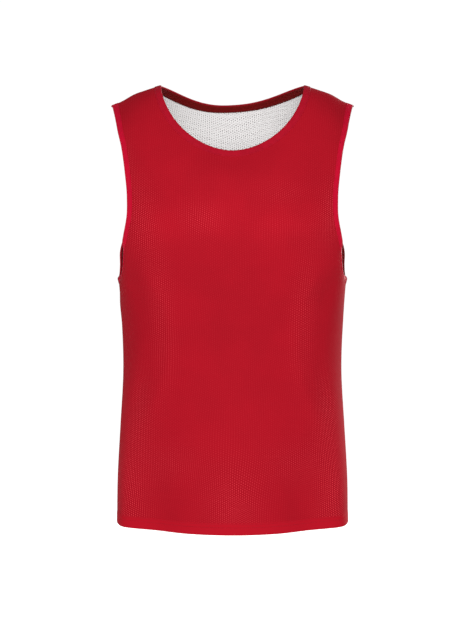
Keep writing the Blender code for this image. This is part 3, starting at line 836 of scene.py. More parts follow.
def add_panel(name, half, depth, hem_rise, settings, material):
    """One mesh panel as a thin shell, this deep below the sheet's outer surface."""
    grid = panel_grid(half, panel_edges(half), hem_rise)
    cells = list(grid)
    number = {cell: i for i, cell in enumerate(cells)}
    places = np.array([grid[cell] for cell in cells])
    points = sheet_point(half, places[:, 0], places[:, 1])
    normals = sheet_normal(half, places[:, 0], places[:, 1])
    inner = depth > OUTER_DEPTH

    above = places[:, 1] - hem_run(places[:, 0], hem_rise)
    stand = hem_offset(above)
    columns = np.array([cell[0] for cell in cells])
    rows = np.array([cell[1] for cell in cells])
    top_row = BODY_ROWS + CHEST_ROWS + STRAP_ROWS
    from_side = np.minimum(columns, COLUMNS - columns) * PANEL_GIRTH / COLUMNS
    from_top = (top_row - rows) * STRAP_ROW_HEIGHT
    from_seam = np.minimum(from_side, from_top)
    stand = stand - ROLL_IN * np.exp(-((from_seam / ROLL_IN_REACH) ** 2))
    if inner:
        # The white layer turns its edges towards the red one, and shows its other face.
        stand = -stand - settings.cloth_thickness
    points = points + normals * (stand - depth)[:, None]

    faces = [[number[cell] for cell in face] for face in panel_faces(grid)]
    if (half.facing > 0) != inner:
        faces = [face[::-1] for face in faces]
    uv = Grain(half).at(places, hem_rise)
    obj = add_mesh_object(name, points, faces, uv, material)
    spots = (INNER_TOUCHES, INNER_TOUCH_FLOOR) if inner else (TOUCHES, TOUCH_FLOOR)
    add_attribute(obj, "layers_touch", layers_touch(half, places, *spots))
    add_attribute(obj, "above_hem", above)
    # The red layer carries painted light and shade; the white one carries none.
    add_attribute(obj, "tone", np.zeros(len(points)) if inner else painted_shading_of(points))
    thicken(obj, settings.cloth_thickness)
    return obj


# A soft spot on the cloth, round a place in (turn, height).
Touch = namedtuple("Touch", "turn height half_turn half_height strength")


def both_sides(*spot):
    """The spot and its mirror image."""
    return (Touch(-spot[0], *spot[1:]), Touch(*spot))


# Where the red layer lies on the white one, so that its holes show the most, in painted light: the white
# layer behind, lit.
TOUCHES = (
    Touch(-14.0, -0.192, 9.0, 0.024, 0.50),
    Touch(-44.0, -0.190, 9.0, 0.060, 0.75),
    Touch(-52.0, -0.110, 7.0, 0.050, 0.6),
    Touch(22.0, -0.150, 11.0, 0.018, 0.28),
    Touch(47.0, -0.180, 7.0, 0.050, 0.8),
    Touch(26.0, -0.205, 16.0, 0.024, 0.14),
    Touch(-36.0, -0.330, 7.0, 0.110, 0.50),
    Touch(36.0, -0.340, 7.0, 0.100, 0.45),
    Touch(-54.0, -0.490, 11.0, 0.060, 0.8),
    Touch(56.0, -0.490, 11.0, 0.060, 1.0),
    Touch(-60.0, -0.600, 14.0, 0.090, 0.8),
    Touch(60.0, -0.600, 14.0, 0.090, 1.0),
    Touch(0.0, -0.620, 13.0, 0.060, 0.62),
    *both_sides(34.0, -0.560, 18.0, 0.034, 0.42),
    Touch(180.0, -0.150, 40.0, 0.070, 0.45),
    Touch(-150.0, -0.290, 14.0, 0.110, 0.60),
    Touch(152.0, -0.330, 13.0, 0.120, 0.55),
    Touch(176.0, -0.430, 20.0, 0.060, 0.35),
    Touch(-124.0, -0.520, 14.0, 0.110, 0.75),
    Touch(122.0, -0.540, 15.0, 0.110, 0.80),
    Touch(178.0, -0.610, 16.0, 0.055, 0.60),
)
TOUCH_FLOOR = 0.10

# Where the holes of the white layer show the most, on the inside of the back below the neck, as painted
# shade: the red layer behind, in shadow.
INNER_TOUCHES = (
    Touch(180.0, -0.052, 8.0, 0.030, 1.0),
    Touch(-168.0, -0.020, 12.0, 0.018, 0.8),
    Touch(166.0, -0.018, 12.0, 0.018, 0.8),
    Touch(-160.0, -0.062, 12.0, 0.016, 0.6),
    Touch(158.0, -0.062, 12.0, 0.016, 0.6),
)
INNER_TOUCH_FLOOR = 0.55


# Painted light and shade on the red cloth: spots made lighter (strength over 0) where light falls, or deeper
# where shade falls, along the neck and the shoulders, in hollows and in the crook of each underarm.
PAINTED_LIGHT_AND_SHADE = (
    Touch(0.0, -0.192, 60.0, 0.032, 0.40),
    Touch(-15.0, -0.195, 10.0, 0.022, 0.45),
    Touch(30.0, -0.200, 20.0, 0.022, 0.50),
    Touch(-48.0, -0.200, 11.0, 0.030, 0.35),
    Touch(0.0, -0.330, 34.0, 0.110, -0.45),
    *both_sides(33.0, 0.005, 9.0, 0.030, -0.55),
    *both_sides(30.0, -0.045, 8.0, 0.024, -0.60),
    *both_sides(17.0, -0.082, 10.0, 0.014, -0.35),
    *both_sides(55.0, 0.000, 12.0, 0.030, -0.30),
    Touch(-66.0, -0.340, 14.0, 0.080, -0.30),
    Touch(66.0, -0.345, 14.0, 0.080, -0.30),
    *both_sides(80.0, -0.560, 16.0, 0.110, 0.90),
    Touch(0.0, -0.625, 12.0, 0.035, 0.30),
    *both_sides(81.0, -0.030, 8.0, 0.055, -1.30),
    Touch(180.0, -0.120, 45.0, 0.045, 0.50),
    Touch(174.0, -0.350, 26.0, 0.100, -0.70),
    Touch(-146.0, -0.240, 10.0, 0.080, 0.55),
    Touch(143.0, -0.250, 9.0, 0.080, 0.50),
    Touch(-128.0, -0.600, 14.0, 0.090, 0.60),
    Touch(124.0, -0.580, 13.0, 0.100, 0.70),
    Touch(-157.0, -0.560, 8.0, 0.090, -0.60),
    Touch(154.0, -0.600, 8.0, 0.090, -0.55),
    *both_sides(89.0, -0.277, 6.0, 0.010, -3.60),
)
# How strongly the painted light and shade lighten or deepen a colour.
PAINTED_SHADING_SHARE = 0.14


def painted_shading_of(points):
    """The painted light and shade on the red cloth at these points: how much lighter or deeper it is made."""
    turn = np.degrees(np.arctan2(points[:, 0], -points[:, 1]))
    tone = np.zeros(len(points))
    for spot in PAINTED_LIGHT_AND_SHADE:
        tone += spot.strength * nearness(spot, turn, points[:, 2])
    return tone


def add_attribute(obj, name, values):
    """Stores one number for each point of the mesh."""
    layer = obj.data.attributes.new(name, "FLOAT", "POINT")
    layer.data.foreach_set("value", np.asarray(values, np.float32))


def layers_touch(half, places, touches, floor):
    """How closely the two layers lie together, from 0 to 1."""
    turn = turn_of(half, places[:, 0])
    apart = np.full(len(places), 1.0 - floor)
    for touch in touches:
        apart = apart * (1.0 - touch.strength * nearness(touch, turn, places[:, 1]))
    return 1.0 - apart


# --- Bindings and stitches ---------------------------------------------------------------------------

# The binding's strip in cross-section, from its outer seam line over the fold to its inner one:
# distance from the finished edge as a share of the width, and height above the sheet.
StripPoint = namedtuple("StripPoint", "share height")
STRIP = (
    StripPoint(1.00, 0.00012),
    StripPoint(0.97, 0.00040),
    StripPoint(0.90, 0.00050),
    StripPoint(0.84, 0.00038),
    StripPoint(0.76, 0.00052),
    StripPoint(0.60, 0.00062),
    StripPoint(0.40, 0.00062),
    StripPoint(0.20, 0.00050),
    StripPoint(0.08, 0.00015),
    StripPoint(0.02, -0.00050),
    StripPoint(0.00, -0.00120),
    StripPoint(0.02, -0.00190),
    StripPoint(0.08, -0.00255),
    StripPoint(0.20, -0.00285),
    StripPoint(0.50, -0.00300),
    StripPoint(0.84, -0.00280),
    StripPoint(0.97, -0.00280),
    StripPoint(1.00, -0.00255),
)
# The row of stitches: its share of the width, and its height on the outside and on the inside.
STITCH_SHARE = 0.84
STITCH_HEIGHTS = ((0.00046, 1.0), (-0.00290, -1.0))
BINDING_STATIONS = 181
NECK_BINDING_STATIONS = 341

# The neck binding's inner edge goes on past the seam and is overlocked: how far it shows in the middle
# and at the shoulders, the size of its teeth, and its height above the sheet.
OVERLOCK_MIDDLE = 0.0016
OVERLOCK_SHOULDER = 0.0050
OVERLOCK_TOOTH = 0.0006
OVERLOCK_TOOTH_STEPS = 4
OVERLOCK_HEIGHT = -0.0028
# Where its threads start, as a share of the binding's width, and their size next to the sewing thread's.
OVERLOCK_START = 0.93
OVERLOCK_THREADS = 2.0


def overlock_edge(loop):
    """How far the overlocked edge lies past the seam at each point of the loop, with its teeth."""
    aside = np.abs(loop.edge[:, 0]) / NECK_HALF_WIDTH
    reach = OVERLOCK_MIDDLE + (OVERLOCK_SHOULDER - OVERLOCK_MIDDLE) * np.sin(np.pi / 2 * aside) ** 2
    return reach + OVERLOCK_TOOTH * np.cos(2 * np.pi * np.arange(len(aside)) / OVERLOCK_TOOTH_STEPS)


def overlock_stitches(loop, width, radius):
    """Threads across the overlocked edge, one for each tooth and each gap."""
    past = overlock_edge(loop)
    starts, normals = loop.line(OVERLOCK_START * width, width)
    middles = loop.line(width + 0.5 * past, width)[0]
    ends = loop.line(width + past, width)[0]
    every = slice(None, None, OVERLOCK_TOOTH_STEPS // 2)
    lines = [(line + OVERLOCK_HEIGHT * normals)[every] for line in (starts, middles, ends)]
    return spindles(*lines, -normals[every], radius)


def add_strip(name, loop, lines, width, thickness, material):
    """A strip of cloth along the loop, through lines of (distance from the edge, height)."""
    rings = []
    for distance, height in lines:
        points, normals = loop.line(distance, width)
        rings.append(points + height * normals)
    points = np.stack(rings, axis=1)
    around, across = points.shape[:2]
    faces = []
    for i in range(around):
        for j in range(across - 1):
            a, b = i * across + j, i * across + j + 1
            c, d = (i + 1) % around * across + j + 1, (i + 1) % around * across + j
            faces.append((d, c, b, a))
    middle = points[:, across // 2]
    steps = np.linalg.norm(np.roll(middle, -1, axis=0) - middle, axis=1)
    along = np.concatenate(([0.0], np.cumsum(steps)[:-1]))
    up = np.concatenate(([0.0], np.cumsum(np.linalg.norm(np.diff(points[0], axis=0), axis=1))))
    uv = np.stack(np.meshgrid(along, up, indexing="ij"), axis=-1).reshape(-1, 2)
    points = points.reshape(-1, 3)
    obj = add_mesh_object(name, points, faces, uv, material)
    # The strip carries painted light and shade, from the same spots as the cloth.
    add_attribute(obj, "tone", painted_shading_of(points))
    thicken(obj, thickness)
    return obj, steps.sum()


# A spindle's tips sink by this share of its radius, and it is full between these shares of its length.
TIP_SINK = 0.3
FULL_SHARES = (0.25, 0.75)


def spindles(starts, middles, ends, ups, radius):
    """Points and faces of small spindles of thread, each from its start over its middle to its end."""
    aside = unit(np.cross(ends - starts, ups))
    lift = middles - 0.5 * (starts + ends)
    shapes = [starts - TIP_SINK * radius * ups]
    for share in FULL_SHARES:
        ring = (1 - share) * starts + share * ends + lift
        shapes += [ring + radius * ups, ring + radius * aside, ring - radius * ups, ring - radius * aside]
    shapes.append(ends - TIP_SINK * radius * ups)
    pattern = [(0, 2, 1), (0, 3, 2), (0, 4, 3), (0, 1, 4)]
    pattern += [(1, 2, 6, 5), (2, 3, 7, 6), (3, 4, 8, 7), (4, 1, 5, 8)]
    pattern += [(9, 5, 6), (9, 6, 7), (9, 7, 8), (9, 8, 5)]
    faces = [tuple(i * 10 + k for k in face) for i in range(len(starts)) for face in pattern]
    return np.stack(shapes, axis=1).reshape(-1, 3), faces


def stitch_row(points, normals, sewing, closed):
    """A row of stitches along a line."""
    if closed:
        points, normals = [np.concatenate((values, values[:1])) for values in (points, normals)]
    along = np.concatenate(([0.0], np.cumsum(np.linalg.norm(np.diff(points, axis=0), axis=1))))
    count = int(along[-1] / sewing.stitch_pitch)
    middles = (np.arange(count) + 0.5) * along[-1] / count

    def read(values, where):
        return np.column_stack([np.interp(where, along, values[:, axis]) for axis in range(3)])

    half = sewing.stitch_length / 2
    start, end = read(points, middles - half), read(points, middles + half)
    return spindles(start, read(points, middles), end, unit(read(normals, middles)), sewing.thread_radius)


def join_rows(rows):
    """One list of points and one of faces from several rows."""
    points, faces, count = [], [], 0
    for row_points, row_faces in rows:
        points.append(row_points)
        faces += [tuple(i + count for i in face) for face in row_faces]
        count += len(row_points)
    return np.concatenate(points), faces


def add_stitches(name, rows, material):
    """One mesh of all these rows."""
    points, faces = join_rows(rows)
    return add_mesh_object(name, points, faces, np.zeros((len(points), 2)), material)


# --- Materials ---------------------------------------------------------------------------------------


class Value:
    """A socket that carries a number. Arithmetic on it adds Math nodes."""

    def __init__(self, maker, socket):
        self.maker = maker
        self.socket = socket

    def math(self, operation, *others):
        return self.maker.node("ShaderNodeMath", {"operation": operation}, (self, *others))

    def __add__(self, other):
        return self.math("ADD", other)

    def __sub__(self, other):
        return self.math("SUBTRACT", other)

    def __rsub__(self, other):
        return self.maker.node("ShaderNodeMath", {"operation": "SUBTRACT"}, (other, self))

    def __mul__(self, other):
        return self.math("MULTIPLY", other)

    def __truediv__(self, other):
        return self.math("DIVIDE", other)

    __radd__ = __add__
    __rmul__ = __mul__


class NodeMaker:
    """Adds nodes to a tree and links them."""

    def __init__(self, tree):
        self.tree = tree

    def feed(self, socket, value):
        if isinstance(value, Value):
            self.tree.links.new(value.socket, socket)
        else:
            socket.default_value = value

    def node(self, kind, settings=None, inputs=(), output=0):
        """Adds a node. Inputs are a tuple in order, or a dict by name or number."""
        made = self.tree.nodes.new(kind)
        for name, value in (settings or {}).items():
            setattr(made, name, value)
        pairs = inputs.items() if isinstance(inputs, dict) else enumerate(inputs)
        for key, value in pairs:
            self.feed(made.inputs[key], value)
        return Value(self, made.outputs[output])

    def ramp(self, value, low, high):
        """0 below low, 1 above high, and smooth between."""
        settings = {"interpolation_type": "SMOOTHSTEP"}
        return self.node("ShaderNodeMapRange", settings, {"Value": value, "From Min": low, "From Max": high})

    def attribute(self, name):
        """A number that the mesh stores for each point."""
        return self.node("ShaderNodeAttribute", {"attribute_name": name}, output=2)

    def mix(self, share, first, second):
        """A colour between two others."""
        inputs = {0: share, 6: first, 7: second}
        return self.node("ShaderNodeMix", {"data_type": "RGBA"}, inputs, output=2)


class Finish(NodeMaker):
    """A material under construction."""

    def __init__(self, name):
        self.material = bpy.data.materials.new(name)
        self.material.use_nodes = True
        super().__init__(self.material.node_tree)
        self.shader = self.tree.nodes["Principled BSDF"]

    def with_painted_shading(self, colour):
        """The colour, lighter or deeper by the painted light and shade that the mesh stores."""
        light = self.attribute("tone") * PAINTED_SHADING_SHARE + 1.0
        vector = self.node("ShaderNodeVectorMath", {"operation": "SCALE"}, {0: colour, "Scale": light})
        return vector

    def surface(self, **sockets):
        for name, value in sockets.items():
            self.feed(self.shader.inputs[name.replace("_", " ")], value)

    def bump(self, height, strength, distance):
        inputs = {"Height": height, "Strength": strength, "Distance": distance}
        self.surface(Normal=self.node("ShaderNodeBump", None, inputs))


def linear(colour, shade=1.0):
    """The colour with its alpha, or a deeper shade of it."""
    return (*(shade * part for part in colour), 1.0)


# How one layer looks: its colours, with the painted light and shade that its holes show, and its holes'
# columns, spacing, relative size and bands.
MeshLook = namedtuple("MeshLook", "colour hole_colour between_holes column row hole_size overlap")
RED_HOLE_SIZE, RED_OVERLAP = 1.0, 0.12
WHITE_HOLE_SIZE, WHITE_OVERLAP = 1.15, 0.45

# The mesh: a hole's soft rim as shares of its half size, the double cloth of the hem, and darker patches.
HOLE_RIM = (0.70, 1.15)
HEM_BRIGHTER = 1.10
HEM_TOP_SOFTNESS = 0.0012
PATCHES_PER_METRE = 21.0
PATCH_SHADE = 0.93
# The relief of the knit: its ribs and loops next to a hole's depth, and the depth itself.
RIB_RELIEF = 0.16
LOOP_RELIEF = 0.10
MESH_RELIEF = 0.00025


def mesh_cloth(name, look, settings):
    """Eyelet mesh: upright columns of small staggered holes between fine ribs, plain on the hem."""
    finish = Finish(name)
    grain = finish.node("ShaderNodeUVMap", {"uv_map": "Grain"})
    across = finish.node("ShaderNodeSeparateXYZ", None, (grain,), output=0)
    up = finish.node("ShaderNodeSeparateXYZ", None, (grain,), output=1)
    column = across / look.column
    odd = (column.math("FLOOR") * 0.5).math("FRACT")
    row = up / look.row + odd
    aside = (column.math("FRACT") - 0.5) * (look.column / (look.hole_size * settings.hole_half_width))
    above = (row.math("FRACT") - 0.5) * (look.row / (look.hole_size * settings.hole_half_height))
    away = (aside * aside + above * above).math("SQRT")
    body = finish.ramp(finish.attribute("above_hem"), HEM_TOP - HEM_TOP_SOFTNESS, HEM_TOP)
    hole = (1.0 - finish.ramp(away, *HOLE_RIM)) * body
    # The holes show most in bands, where the two layers' rows of holes fall on each other.
    band = (up * (2 * np.pi / settings.overlap_height)).math("COSINE")
    # Where the layers touch, the holes show their painted light on the red layer and their painted shade on
    # the white one.
    touch = finish.attribute("layers_touch") * (band * look.overlap + 1.0)
    place = finish.node("ShaderNodeTexCoord", output=3)
    patches = {"Vector": place, "Scale": PATCHES_PER_METRE, "Detail": 3.0}
    shade = finish.ramp(finish.node("ShaderNodeTexNoise", None, patches), 0.25, 0.75)
    cloth = finish.mix(shade, linear(look.colour, PATCH_SHADE), linear(look.colour))
    between = tuple(a * c for a, c in zip(look.between_holes, look.colour))
    cloth = finish.mix(touch * body, cloth, linear(between))
    cloth = finish.mix(body, linear(look.colour, HEM_BRIGHTER), cloth)
    # The colour gets its painted light and shade here.
    finish.surface(Base_Color=finish.with_painted_shading(finish.mix(hole * touch, cloth, linear(look.hole_colour))))
    rib = (across * (2 * np.pi / settings.rib_pitch)).math("COSINE")
    loops = (up * (2 * np.pi / settings.loop_pitch)).math("COSINE")
    finish.bump(1.0 - hole + rib * RIB_RELIEF + loops * rib * LOOP_RELIEF, 0.35, MESH_RELIEF)
    finish.surface(Roughness=settings.roughness, Specular_IOR_Level=0.04)
    return finish.material


# The binding gets darker from just before its fold to this far past it: partly its darker wrong side, partly
# painted shade on the inside of the bib. The depth of its relief.
FOLD_SHADE_START = 0.0004
FOLD_SHADE_END = 0.0048
BINDING_RELIEF = 0.0004


def binding_cloth(name, colour, fold, settings):
    """Smooth knitted strip with fine ribs, gathered a little by its stitches, and darker past its fold:
    partly its wrong side, partly painted shade.
    """
    finish = Finish(name)
    grain = finish.node("ShaderNodeUVMap", {"uv_map": "Grain"})
    along = finish.node("ShaderNodeSeparateXYZ", None, (grain,), output=0)
    up = finish.node("ShaderNodeSeparateXYZ", None, (grain,), output=1)
    uneven = finish.node("ShaderNodeTexNoise", None, {"Vector": grain, "Scale": 90.0, "Detail": 2.0})
    cloth = finish.mix(finish.ramp(uneven, 0.3, 0.7), linear(colour, 0.90), linear(colour))
    # Past the fold: the strip's darker wrong side, with painted shade on the inside of the bib.
    inside = finish.ramp(up, fold - FOLD_SHADE_START, fold + FOLD_SHADE_END)
    cloth = finish.mix(inside, cloth, linear(settings.binding_inside))
    # The colour gets its painted light and shade here.
    finish.surface(Base_Color=finish.with_painted_shading(cloth))
    rib = (along * (2 * np.pi / settings.rib_pitch)).math("COSINE")
    loops = (up * (2 * np.pi / settings.rib_pitch)).math("COSINE")
    gather = (along * (2 * np.pi / settings.stitch_pitch)).math("COSINE")
    finish.bump(rib * 0.2 + rib * loops * 0.15 + gather * 0.35 + uneven * 0.5, 0.4, BINDING_RELIEF)
    finish.surface(Roughness=settings.roughness, Specular_IOR_Level=0.06)
    return finish.material


def thread(name, colour):
    """Spun sewing thread."""
    finish = Finish(name)
    place = finish.node("ShaderNodeTexCoord", output=3)
    twist = finish.node("ShaderNodeTexNoise", None, {"Vector": place, "Scale": 1400.0})
    finish.surface(Base_Color=finish.mix(twist, linear(colour, 0.8), linear(colour)))
    finish.surface(Roughness=0.55, Specular_IOR_Level=0.2)
    finish.bump(twist, 0.3, 0.0001)
    return finish.material


# --- Settings ----------------------------------------------------------------------------------------


def a_colour(name, description, default):
    return bpy.props.FloatVectorProperty(name=name, description=description, subtype="COLOR", default=default)


def a_length(name, description, default):
    return bpy.props.FloatProperty(name=name, description=description, unit="LENGTH", default=default)


def a_share(name, description, default):
    limits = {"min": 0.0, "max": 1.0}
    return bpy.props.FloatProperty(
        name=name, description=description, subtype="FACTOR", default=default, **limits
    )


class ClothSettings(bpy.types.PropertyGroup):
    """The two layers of mesh cloth."""

    red: a_colour("Red side", "Colour of the outer layer", (0.368, 0.0045, 0.0135))
    # Painted light: the white layer behind the red one's holes, lit through the red cloth.
    red_hole: a_colour("Red holes", "What shows through the outer layer's holes", (0.820, 0.056, 0.080))
    white: a_colour("White side", "Colour of the inner layer", (0.822, 0.806, 0.802))
    # Painted shade: the red layer behind the white one's holes, in shadow.
    white_hole: a_colour("White holes", "What shows through the inner layer's holes", (0.180, 0.171, 0.171))
    red_between: a_colour(
        "Red between holes", "How much darker the red cloth looks between holes that show", (0.84, 0.60, 0.74)
    )
    white_between: a_colour(
        "White between holes", "How much darker the white cloth looks between holes that show",
        (0.98, 0.98, 0.98),
    )
    cloth_thickness: a_length("Cloth thickness", "Thickness of one layer", 0.0006)
    red_column: a_length("Red columns", "Distance between the red side's columns of holes", 0.0033)
    red_row: a_length("Red hole spacing", "Distance between holes in a column", 0.0032)
    white_column: a_length("White columns", "Distance between the white side's columns of holes", 0.0034)
    white_row: a_length("White hole spacing", "Distance between holes in a column", 0.0037)
    hole_half_width: a_length("Hole half width", "Half the width of a hole", 0.00060)
    hole_half_height: a_length("Hole half height", "Half the height of a hole", 0.00092)
    overlap_height: a_length(
        "Overlap bands", "Distance between bands where the two layers' holes fall on each other", 0.0088
    )
    rib_pitch: a_length("Rib spacing", "Distance between upright ribs of the knit", 0.00085)
    loop_pitch: a_length("Loop spacing", "Height of one knitted loop", 0.0006)
    roughness: a_share("Roughness", "How matt the mesh is", 0.72)


class SewingSettings(bpy.types.PropertyGroup):
    """Bindings and stitches."""

    neck_colour: a_colour("Neck binding", "Colour of the neck binding", (0.385, 0.0035, 0.0165))
    armhole_colour: a_colour("Armhole bindings", "Colour of the armhole bindings", (0.520, 0.0022, 0.0245))
    # The inside colour: partly the strip's darker wrong side, partly painted shade. The overlock thread has
    # it too.
    binding_inside: a_colour(
        "Bindings, inside", "Colour of the bindings on the inside of the bib", (0.122, 0.0034, 0.0028)
    )
    thread: a_colour("Thread", "Colour of the sewing thread", (0.330, 0.0040, 0.0150))
    neck_width: a_length("Neck binding", "Width of the neck binding", 0.0108)
    armhole_width: a_length("Armhole binding", "Width of the armhole bindings", 0.0100)
    strip_thickness: a_length("Strip thickness", "Thickness of the binding's cloth", 0.00045)
    rib_pitch: a_length("Rib spacing", "Distance between ribs of the binding", 0.0007)
    stitch_pitch: a_length("Stitch spacing", "Distance between stitches", 0.0030)
    stitch_length: a_length("Stitch length", "Length of one stitch on the surface", 0.0025)
    thread_radius: a_length("Thread radius", "Radius of the sewing thread", 0.00017)
    roughness: a_share("Roughness", "How matt the bindings are", 0.60)


class StageSettings(bpy.types.PropertyGroup):
    """Floor, lights and camera."""

    ambient: bpy.props.FloatProperty(name="Room light", description="Light from all round", default=0.68)
    front_light: bpy.props.FloatProperty(
        name="Front light", description="Power of the softbox in front", unit="POWER", default=60.0
    )
    back_light: bpy.props.FloatProperty(
        name="Back light", description="Power of the softbox behind", unit="POWER", default=80.0
    )
    floor_drop: a_length("Floor", "Distance from the hem down to the floor", 0.45)


# --- Operators ---------------------------------------------------------------------------------------

# Flat cuts in metres: width, length and area of each panel as it lies before sewing.
PanelCut = namedtuple("PanelCut", "width length area")
CUTS = {"front": PanelCut(0.500, 0.700, 0.262), "back": PanelCut(0.500, 0.740, 0.281)}


class BIB_OT_panels(bpy.types.Operator):
    """Build the four mesh panels, two red outside and two white inside"""

    bl_idname = "bib.panels"
    bl_label = "Mesh panels"

    def execute(self, context):
        cloth = context.scene.bib_cloth
        red = (cloth.red, cloth.red_hole, cloth.red_between, cloth.red_column, cloth.red_row)
        white = (cloth.white, cloth.white_hole, cloth.white_between, cloth.white_column, cloth.white_row)
        layers = (
            ("outer_", OUTER_DEPTH, 0.0, MeshLook(*red, RED_HOLE_SIZE, RED_OVERLAP)),
            ("inner_", INNER_DEPTH, INNER_HEM_RISE, MeshLook(*white, WHITE_HOLE_SIZE, WHITE_OVERLAP)),
        )
        for layer, depth, hem_rise, look in layers:
            for half in (FRONT, BACK):
                name = layer + half.name
                material = mesh_cloth(name + "_cloth", look, cloth)
                panel = add_panel(name + "_panel", half, depth, hem_rise, cloth, material)
                dress(panel, name)
        return {"FINISHED"}


class BIB_OT_bindings(bpy.types.Operator):
    """Build the folded strips round the neck and the armholes, with their stitches"""

    bl_idname = "bib.bindings"
    bl_label = "Bindings"

    def execute(self, context):
        sewing = context.scene.bib_sewing
        stations = np.linspace(0.0, 1.0, BINDING_STATIONS)
        yarn = thread("red_thread", sewing.thread)
        dark_yarn = thread("overlock_thread", sewing.binding_inside)
        neck = neck_loop(np.linspace(0.0, 1.0, NECK_BINDING_STATIONS))
        bindings = (
            ("neck_binding", neck, sewing.neck_width, sewing.neck_colour),
            ("armhole_binding_left", armhole_loop(-1, stations), sewing.armhole_width, sewing.armhole_colour),
            ("armhole_binding_right", armhole_loop(1, stations), sewing.armhole_width, sewing.armhole_colour),
        )
        for name, loop, width, colour in bindings:
            lines = [(point.share * width, point.height) for point in STRIP]
            if loop is neck:
                past = overlock_edge(loop)
                lines[-2:] = [(width + share * past, OVERLOCK_HEIGHT) for share in (0.0, 0.5, 1.0)]
            cloth = binding_cloth(name + "_cloth", colour, width, sewing)
            strip, length = add_strip(name + "_strip", loop, lines, width, sewing.strip_thickness, cloth)
            dress(strip, name)
            rows = []
            for height, side in STITCH_HEIGHTS:
                points, normals = loop.line(STITCH_SHARE * width, width)
                points = points + height * normals
                rows.append(stitch_row(points, side * normals, sewing, True))
            sewn = [add_stitches(name + "_stitches", rows, yarn)]
            if loop is neck:
                rows = [overlock_stitches(loop, width, OVERLOCK_THREADS * sewing.thread_radius)]
                sewn.append(add_stitches(name + "_overlock", rows, dark_yarn))
            for stitches in sewn:
                dress(stitches, None)
            across = 2 * width + SHEET_BACK
        return {"FINISHED"}


class BIB_OT_hems(bpy.types.Operator):
    """Sew two rows of stitches round each layer's hem"""

    bl_idname = "bib.hems"
    bl_label = "Hem stitches"

    def execute(self, context):
        sewing = context.scene.bib_sewing
        red = thread("red_hem_thread", sewing.thread)
        white = thread("white_hem_thread", context.scene.bib_cloth.white)
        thickness = context.scene.bib_cloth.cloth_thickness
        inner_back = -INNER_DEPTH - 2 * thickness
        sides = (("outer", 0.0, 0.0, 1.0, red), ("inner", INNER_HEM_RISE, inner_back, -1.0, white))
        for layer, hem_rise, height, facing, yarn in sides:
            for half in (FRONT, BACK):
                angle = np.linspace(-np.pi / 2, np.pi / 2, HEM_STATIONS)[2:-2]
                rows = []
                for line in HEM_STITCH_LINES:
                    run = hem_run(angle, hem_rise) + line
                    normals = sheet_normal(half, angle, run)
                    stand = facing * (hem_offset(np.full(len(angle), line)) + 0.5 * sewing.thread_radius)
                    points = sheet_point(half, angle, run) + (height + stand)[:, None] * normals
                    rows.append(stitch_row(points, facing * normals, sewing, False))
                name = layer + "_" + half.name
                stitches = add_stitches(name + "_hem_stitches", rows, yarn)
                dress(stitches, None)
                panel, cut = bpy.data.objects[name + "_panel"], CUTS[half.name]
        return {"FINISHED"}


class BIB_OT_stage(bpy.types.Operator):
    """Set up the floor, the backdrop, the lights and the camera"""

    bl_idname = "bib.stage"
    bl_label = "Stage"

    def execute(self, context):
        scene = context.scene
        stage = scene.bib_stage
        scene.view_settings.view_transform = "Standard"
        add_floor(HEM_HEIGHT - HEM_DROP - stage.floor_drop)
        add_backdrop()
        add_room_light(stage.ambient)
        add_softbox("front_softbox", FRONT_SOFTBOX, stage.front_light)
        add_softbox("back_softbox", BACK_SOFTBOX, stage.back_light)
        add_camera()
        return {"FINISHED"}


CAMERA_PLACE = Vector((0.0, -2.6, -0.2575))
CAMERA_AIM = Vector((0.0, 0.0, -0.3308))
CAMERA_LENS = 96.94
Softbox = namedtuple("Softbox", "place size")
FRONT_SOFTBOX = Softbox(Vector((0.0, -2.8, 0.30)), 1.7)
BACK_SOFTBOX = Softbox(Vector((1.7, 2.4, 0.60)), 1.4)
CEILING_DIMMING = 0.45
FLOOR_RADIUS = 9.0
BACKDROP_RADIUS = 12.0


def glowing(name, colour, glow):
    """A pale material that gives off light of its own."""
    finish = Finish(name)
    finish.surface(Base_Color=linear(colour), Roughness=0.9, Emission_Color=linear((1.0, 1.0, 1.0)))
    finish.surface(Emission_Strength=glow)
    return finish.material


def add_floor(height):
    """A pale floor below the bib. It doesn't throw light up at it."""
    place = (0.0, 0.0, height)
    bpy.ops.mesh.primitive_circle_add(vertices=96, radius=FLOOR_RADIUS, fill_type="NGON", location=place)
    floor = bpy.context.object
    floor.name = "floor"
    floor.data.materials.append(glowing("pale_floor", (0.9, 0.9, 0.9), 0.62))
    floor.visible_diffuse = False
    floor.visible_glossy = False


def add_backdrop():
    """A plain white backdrop all round, which the camera sees and the cloth doesn't."""
    bpy.ops.mesh.primitive_uv_sphere_add(segments=48, ring_count=24, radius=BACKDROP_RADIUS)
    backdrop = bpy.context.object
    backdrop.name = "backdrop"
    backdrop.data.materials.append(glowing("white_backdrop", (0.0, 0.0, 0.0), 1.02))
    backdrop.visible_diffuse = False
    backdrop.visible_glossy = False
    backdrop.visible_shadow = False


def add_room_light(strength):
    """Soft light from all round, dimmer towards the ceiling."""
    world = bpy.data.worlds.new("room")
    world.use_nodes = True
    room = NodeMaker(world.node_tree)
    direction = room.node("ShaderNodeTexCoord")
    height = room.node("ShaderNodeSeparateXYZ", None, (direction,), output=2)
    background = world.node_tree.nodes["Background"]
    background.inputs["Color"].default_value = (1.0, 1.0, 1.0, 1.0)
    room.feed(background.inputs["Strength"], strength * (1.0 - CEILING_DIMMING * height))
    bpy.context.scene.world = world


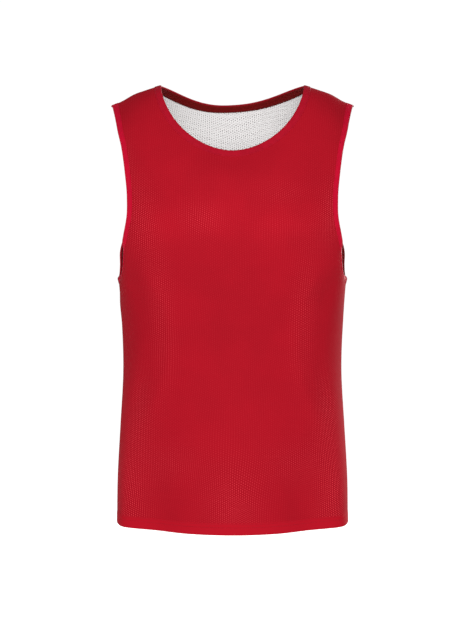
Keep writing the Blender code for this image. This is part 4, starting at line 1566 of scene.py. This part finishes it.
def add_softbox(name, softbox, power):
    """A square softbox that faces the middle of the bib."""
    light = bpy.data.lights.new(name, "AREA")
    light.shape = "SQUARE"
    light.size = softbox.size
    light.energy = power
    obj = bpy.data.objects.new(name, light)
    obj.location = softbox.place
    obj.rotation_euler = (CAMERA_AIM - softbox.place).to_track_quat("-Z", "Y").to_euler()
    obj.visible_camera = False
    bpy.context.scene.collection.objects.link(obj)


def add_camera():
    """The camera, at the photograph's viewing angle."""
    lens = bpy.data.cameras.new("camera")
    lens.lens = CAMERA_LENS
    lens.clip_start = 0.01
    camera = bpy.data.objects.new("camera", lens)
    camera.location = CAMERA_PLACE
    camera.rotation_euler = (CAMERA_AIM - CAMERA_PLACE).to_track_quat("-Z", "Y").to_euler()
    bpy.context.scene.collection.objects.link(camera)
    bpy.context.scene.camera = camera


class BIB_PT_panel(bpy.types.Panel):
    """The bib's sizes, colours and building steps"""

    bl_idname = "BIB_PT_panel"
    bl_label = "Reversible training bib"
    bl_space_type = "VIEW_3D"
    bl_region_type = "UI"
    bl_category = "Bib"

    def draw(self, context):
        scene = context.scene
        groups = (
            (scene.bib_cloth, ("bib.panels",)),
            (scene.bib_sewing, ("bib.bindings", "bib.hems")),
            (scene.bib_stage, ("bib.stage",)),
        )
        for settings, steps in groups:
            box = self.layout.box()
            for name in type(settings).__annotations__:
                box.prop(settings, name)
            for step in steps:
                box.operator(step)


GROUPS = {"bib_cloth": ClothSettings, "bib_sewing": SewingSettings, "bib_stage": StageSettings}
CLASSES = (BIB_OT_panels, BIB_OT_bindings, BIB_OT_hems, BIB_OT_stage, BIB_PT_panel)


def register():
    for name, group in GROUPS.items():
        bpy.utils.register_class(group)
        setattr(bpy.types.Scene, name, bpy.props.PointerProperty(type=group))
    for made in CLASSES:
        bpy.utils.register_class(made)


def unregister():
    for made in reversed(CLASSES):
        bpy.utils.unregister_class(made)
    for name, group in reversed(GROUPS.items()):
        delattr(bpy.types.Scene, name)
        bpy.utils.unregister_class(group)


def main():
    register()
    bpy.ops.object.select_all(action="DESELECT")
    bpy.ops.bib.panels()
    bpy.ops.bib.bindings()
    bpy.ops.bib.hems()
    bpy.ops.bib.stage()


if __name__ == "__main__":
    main()
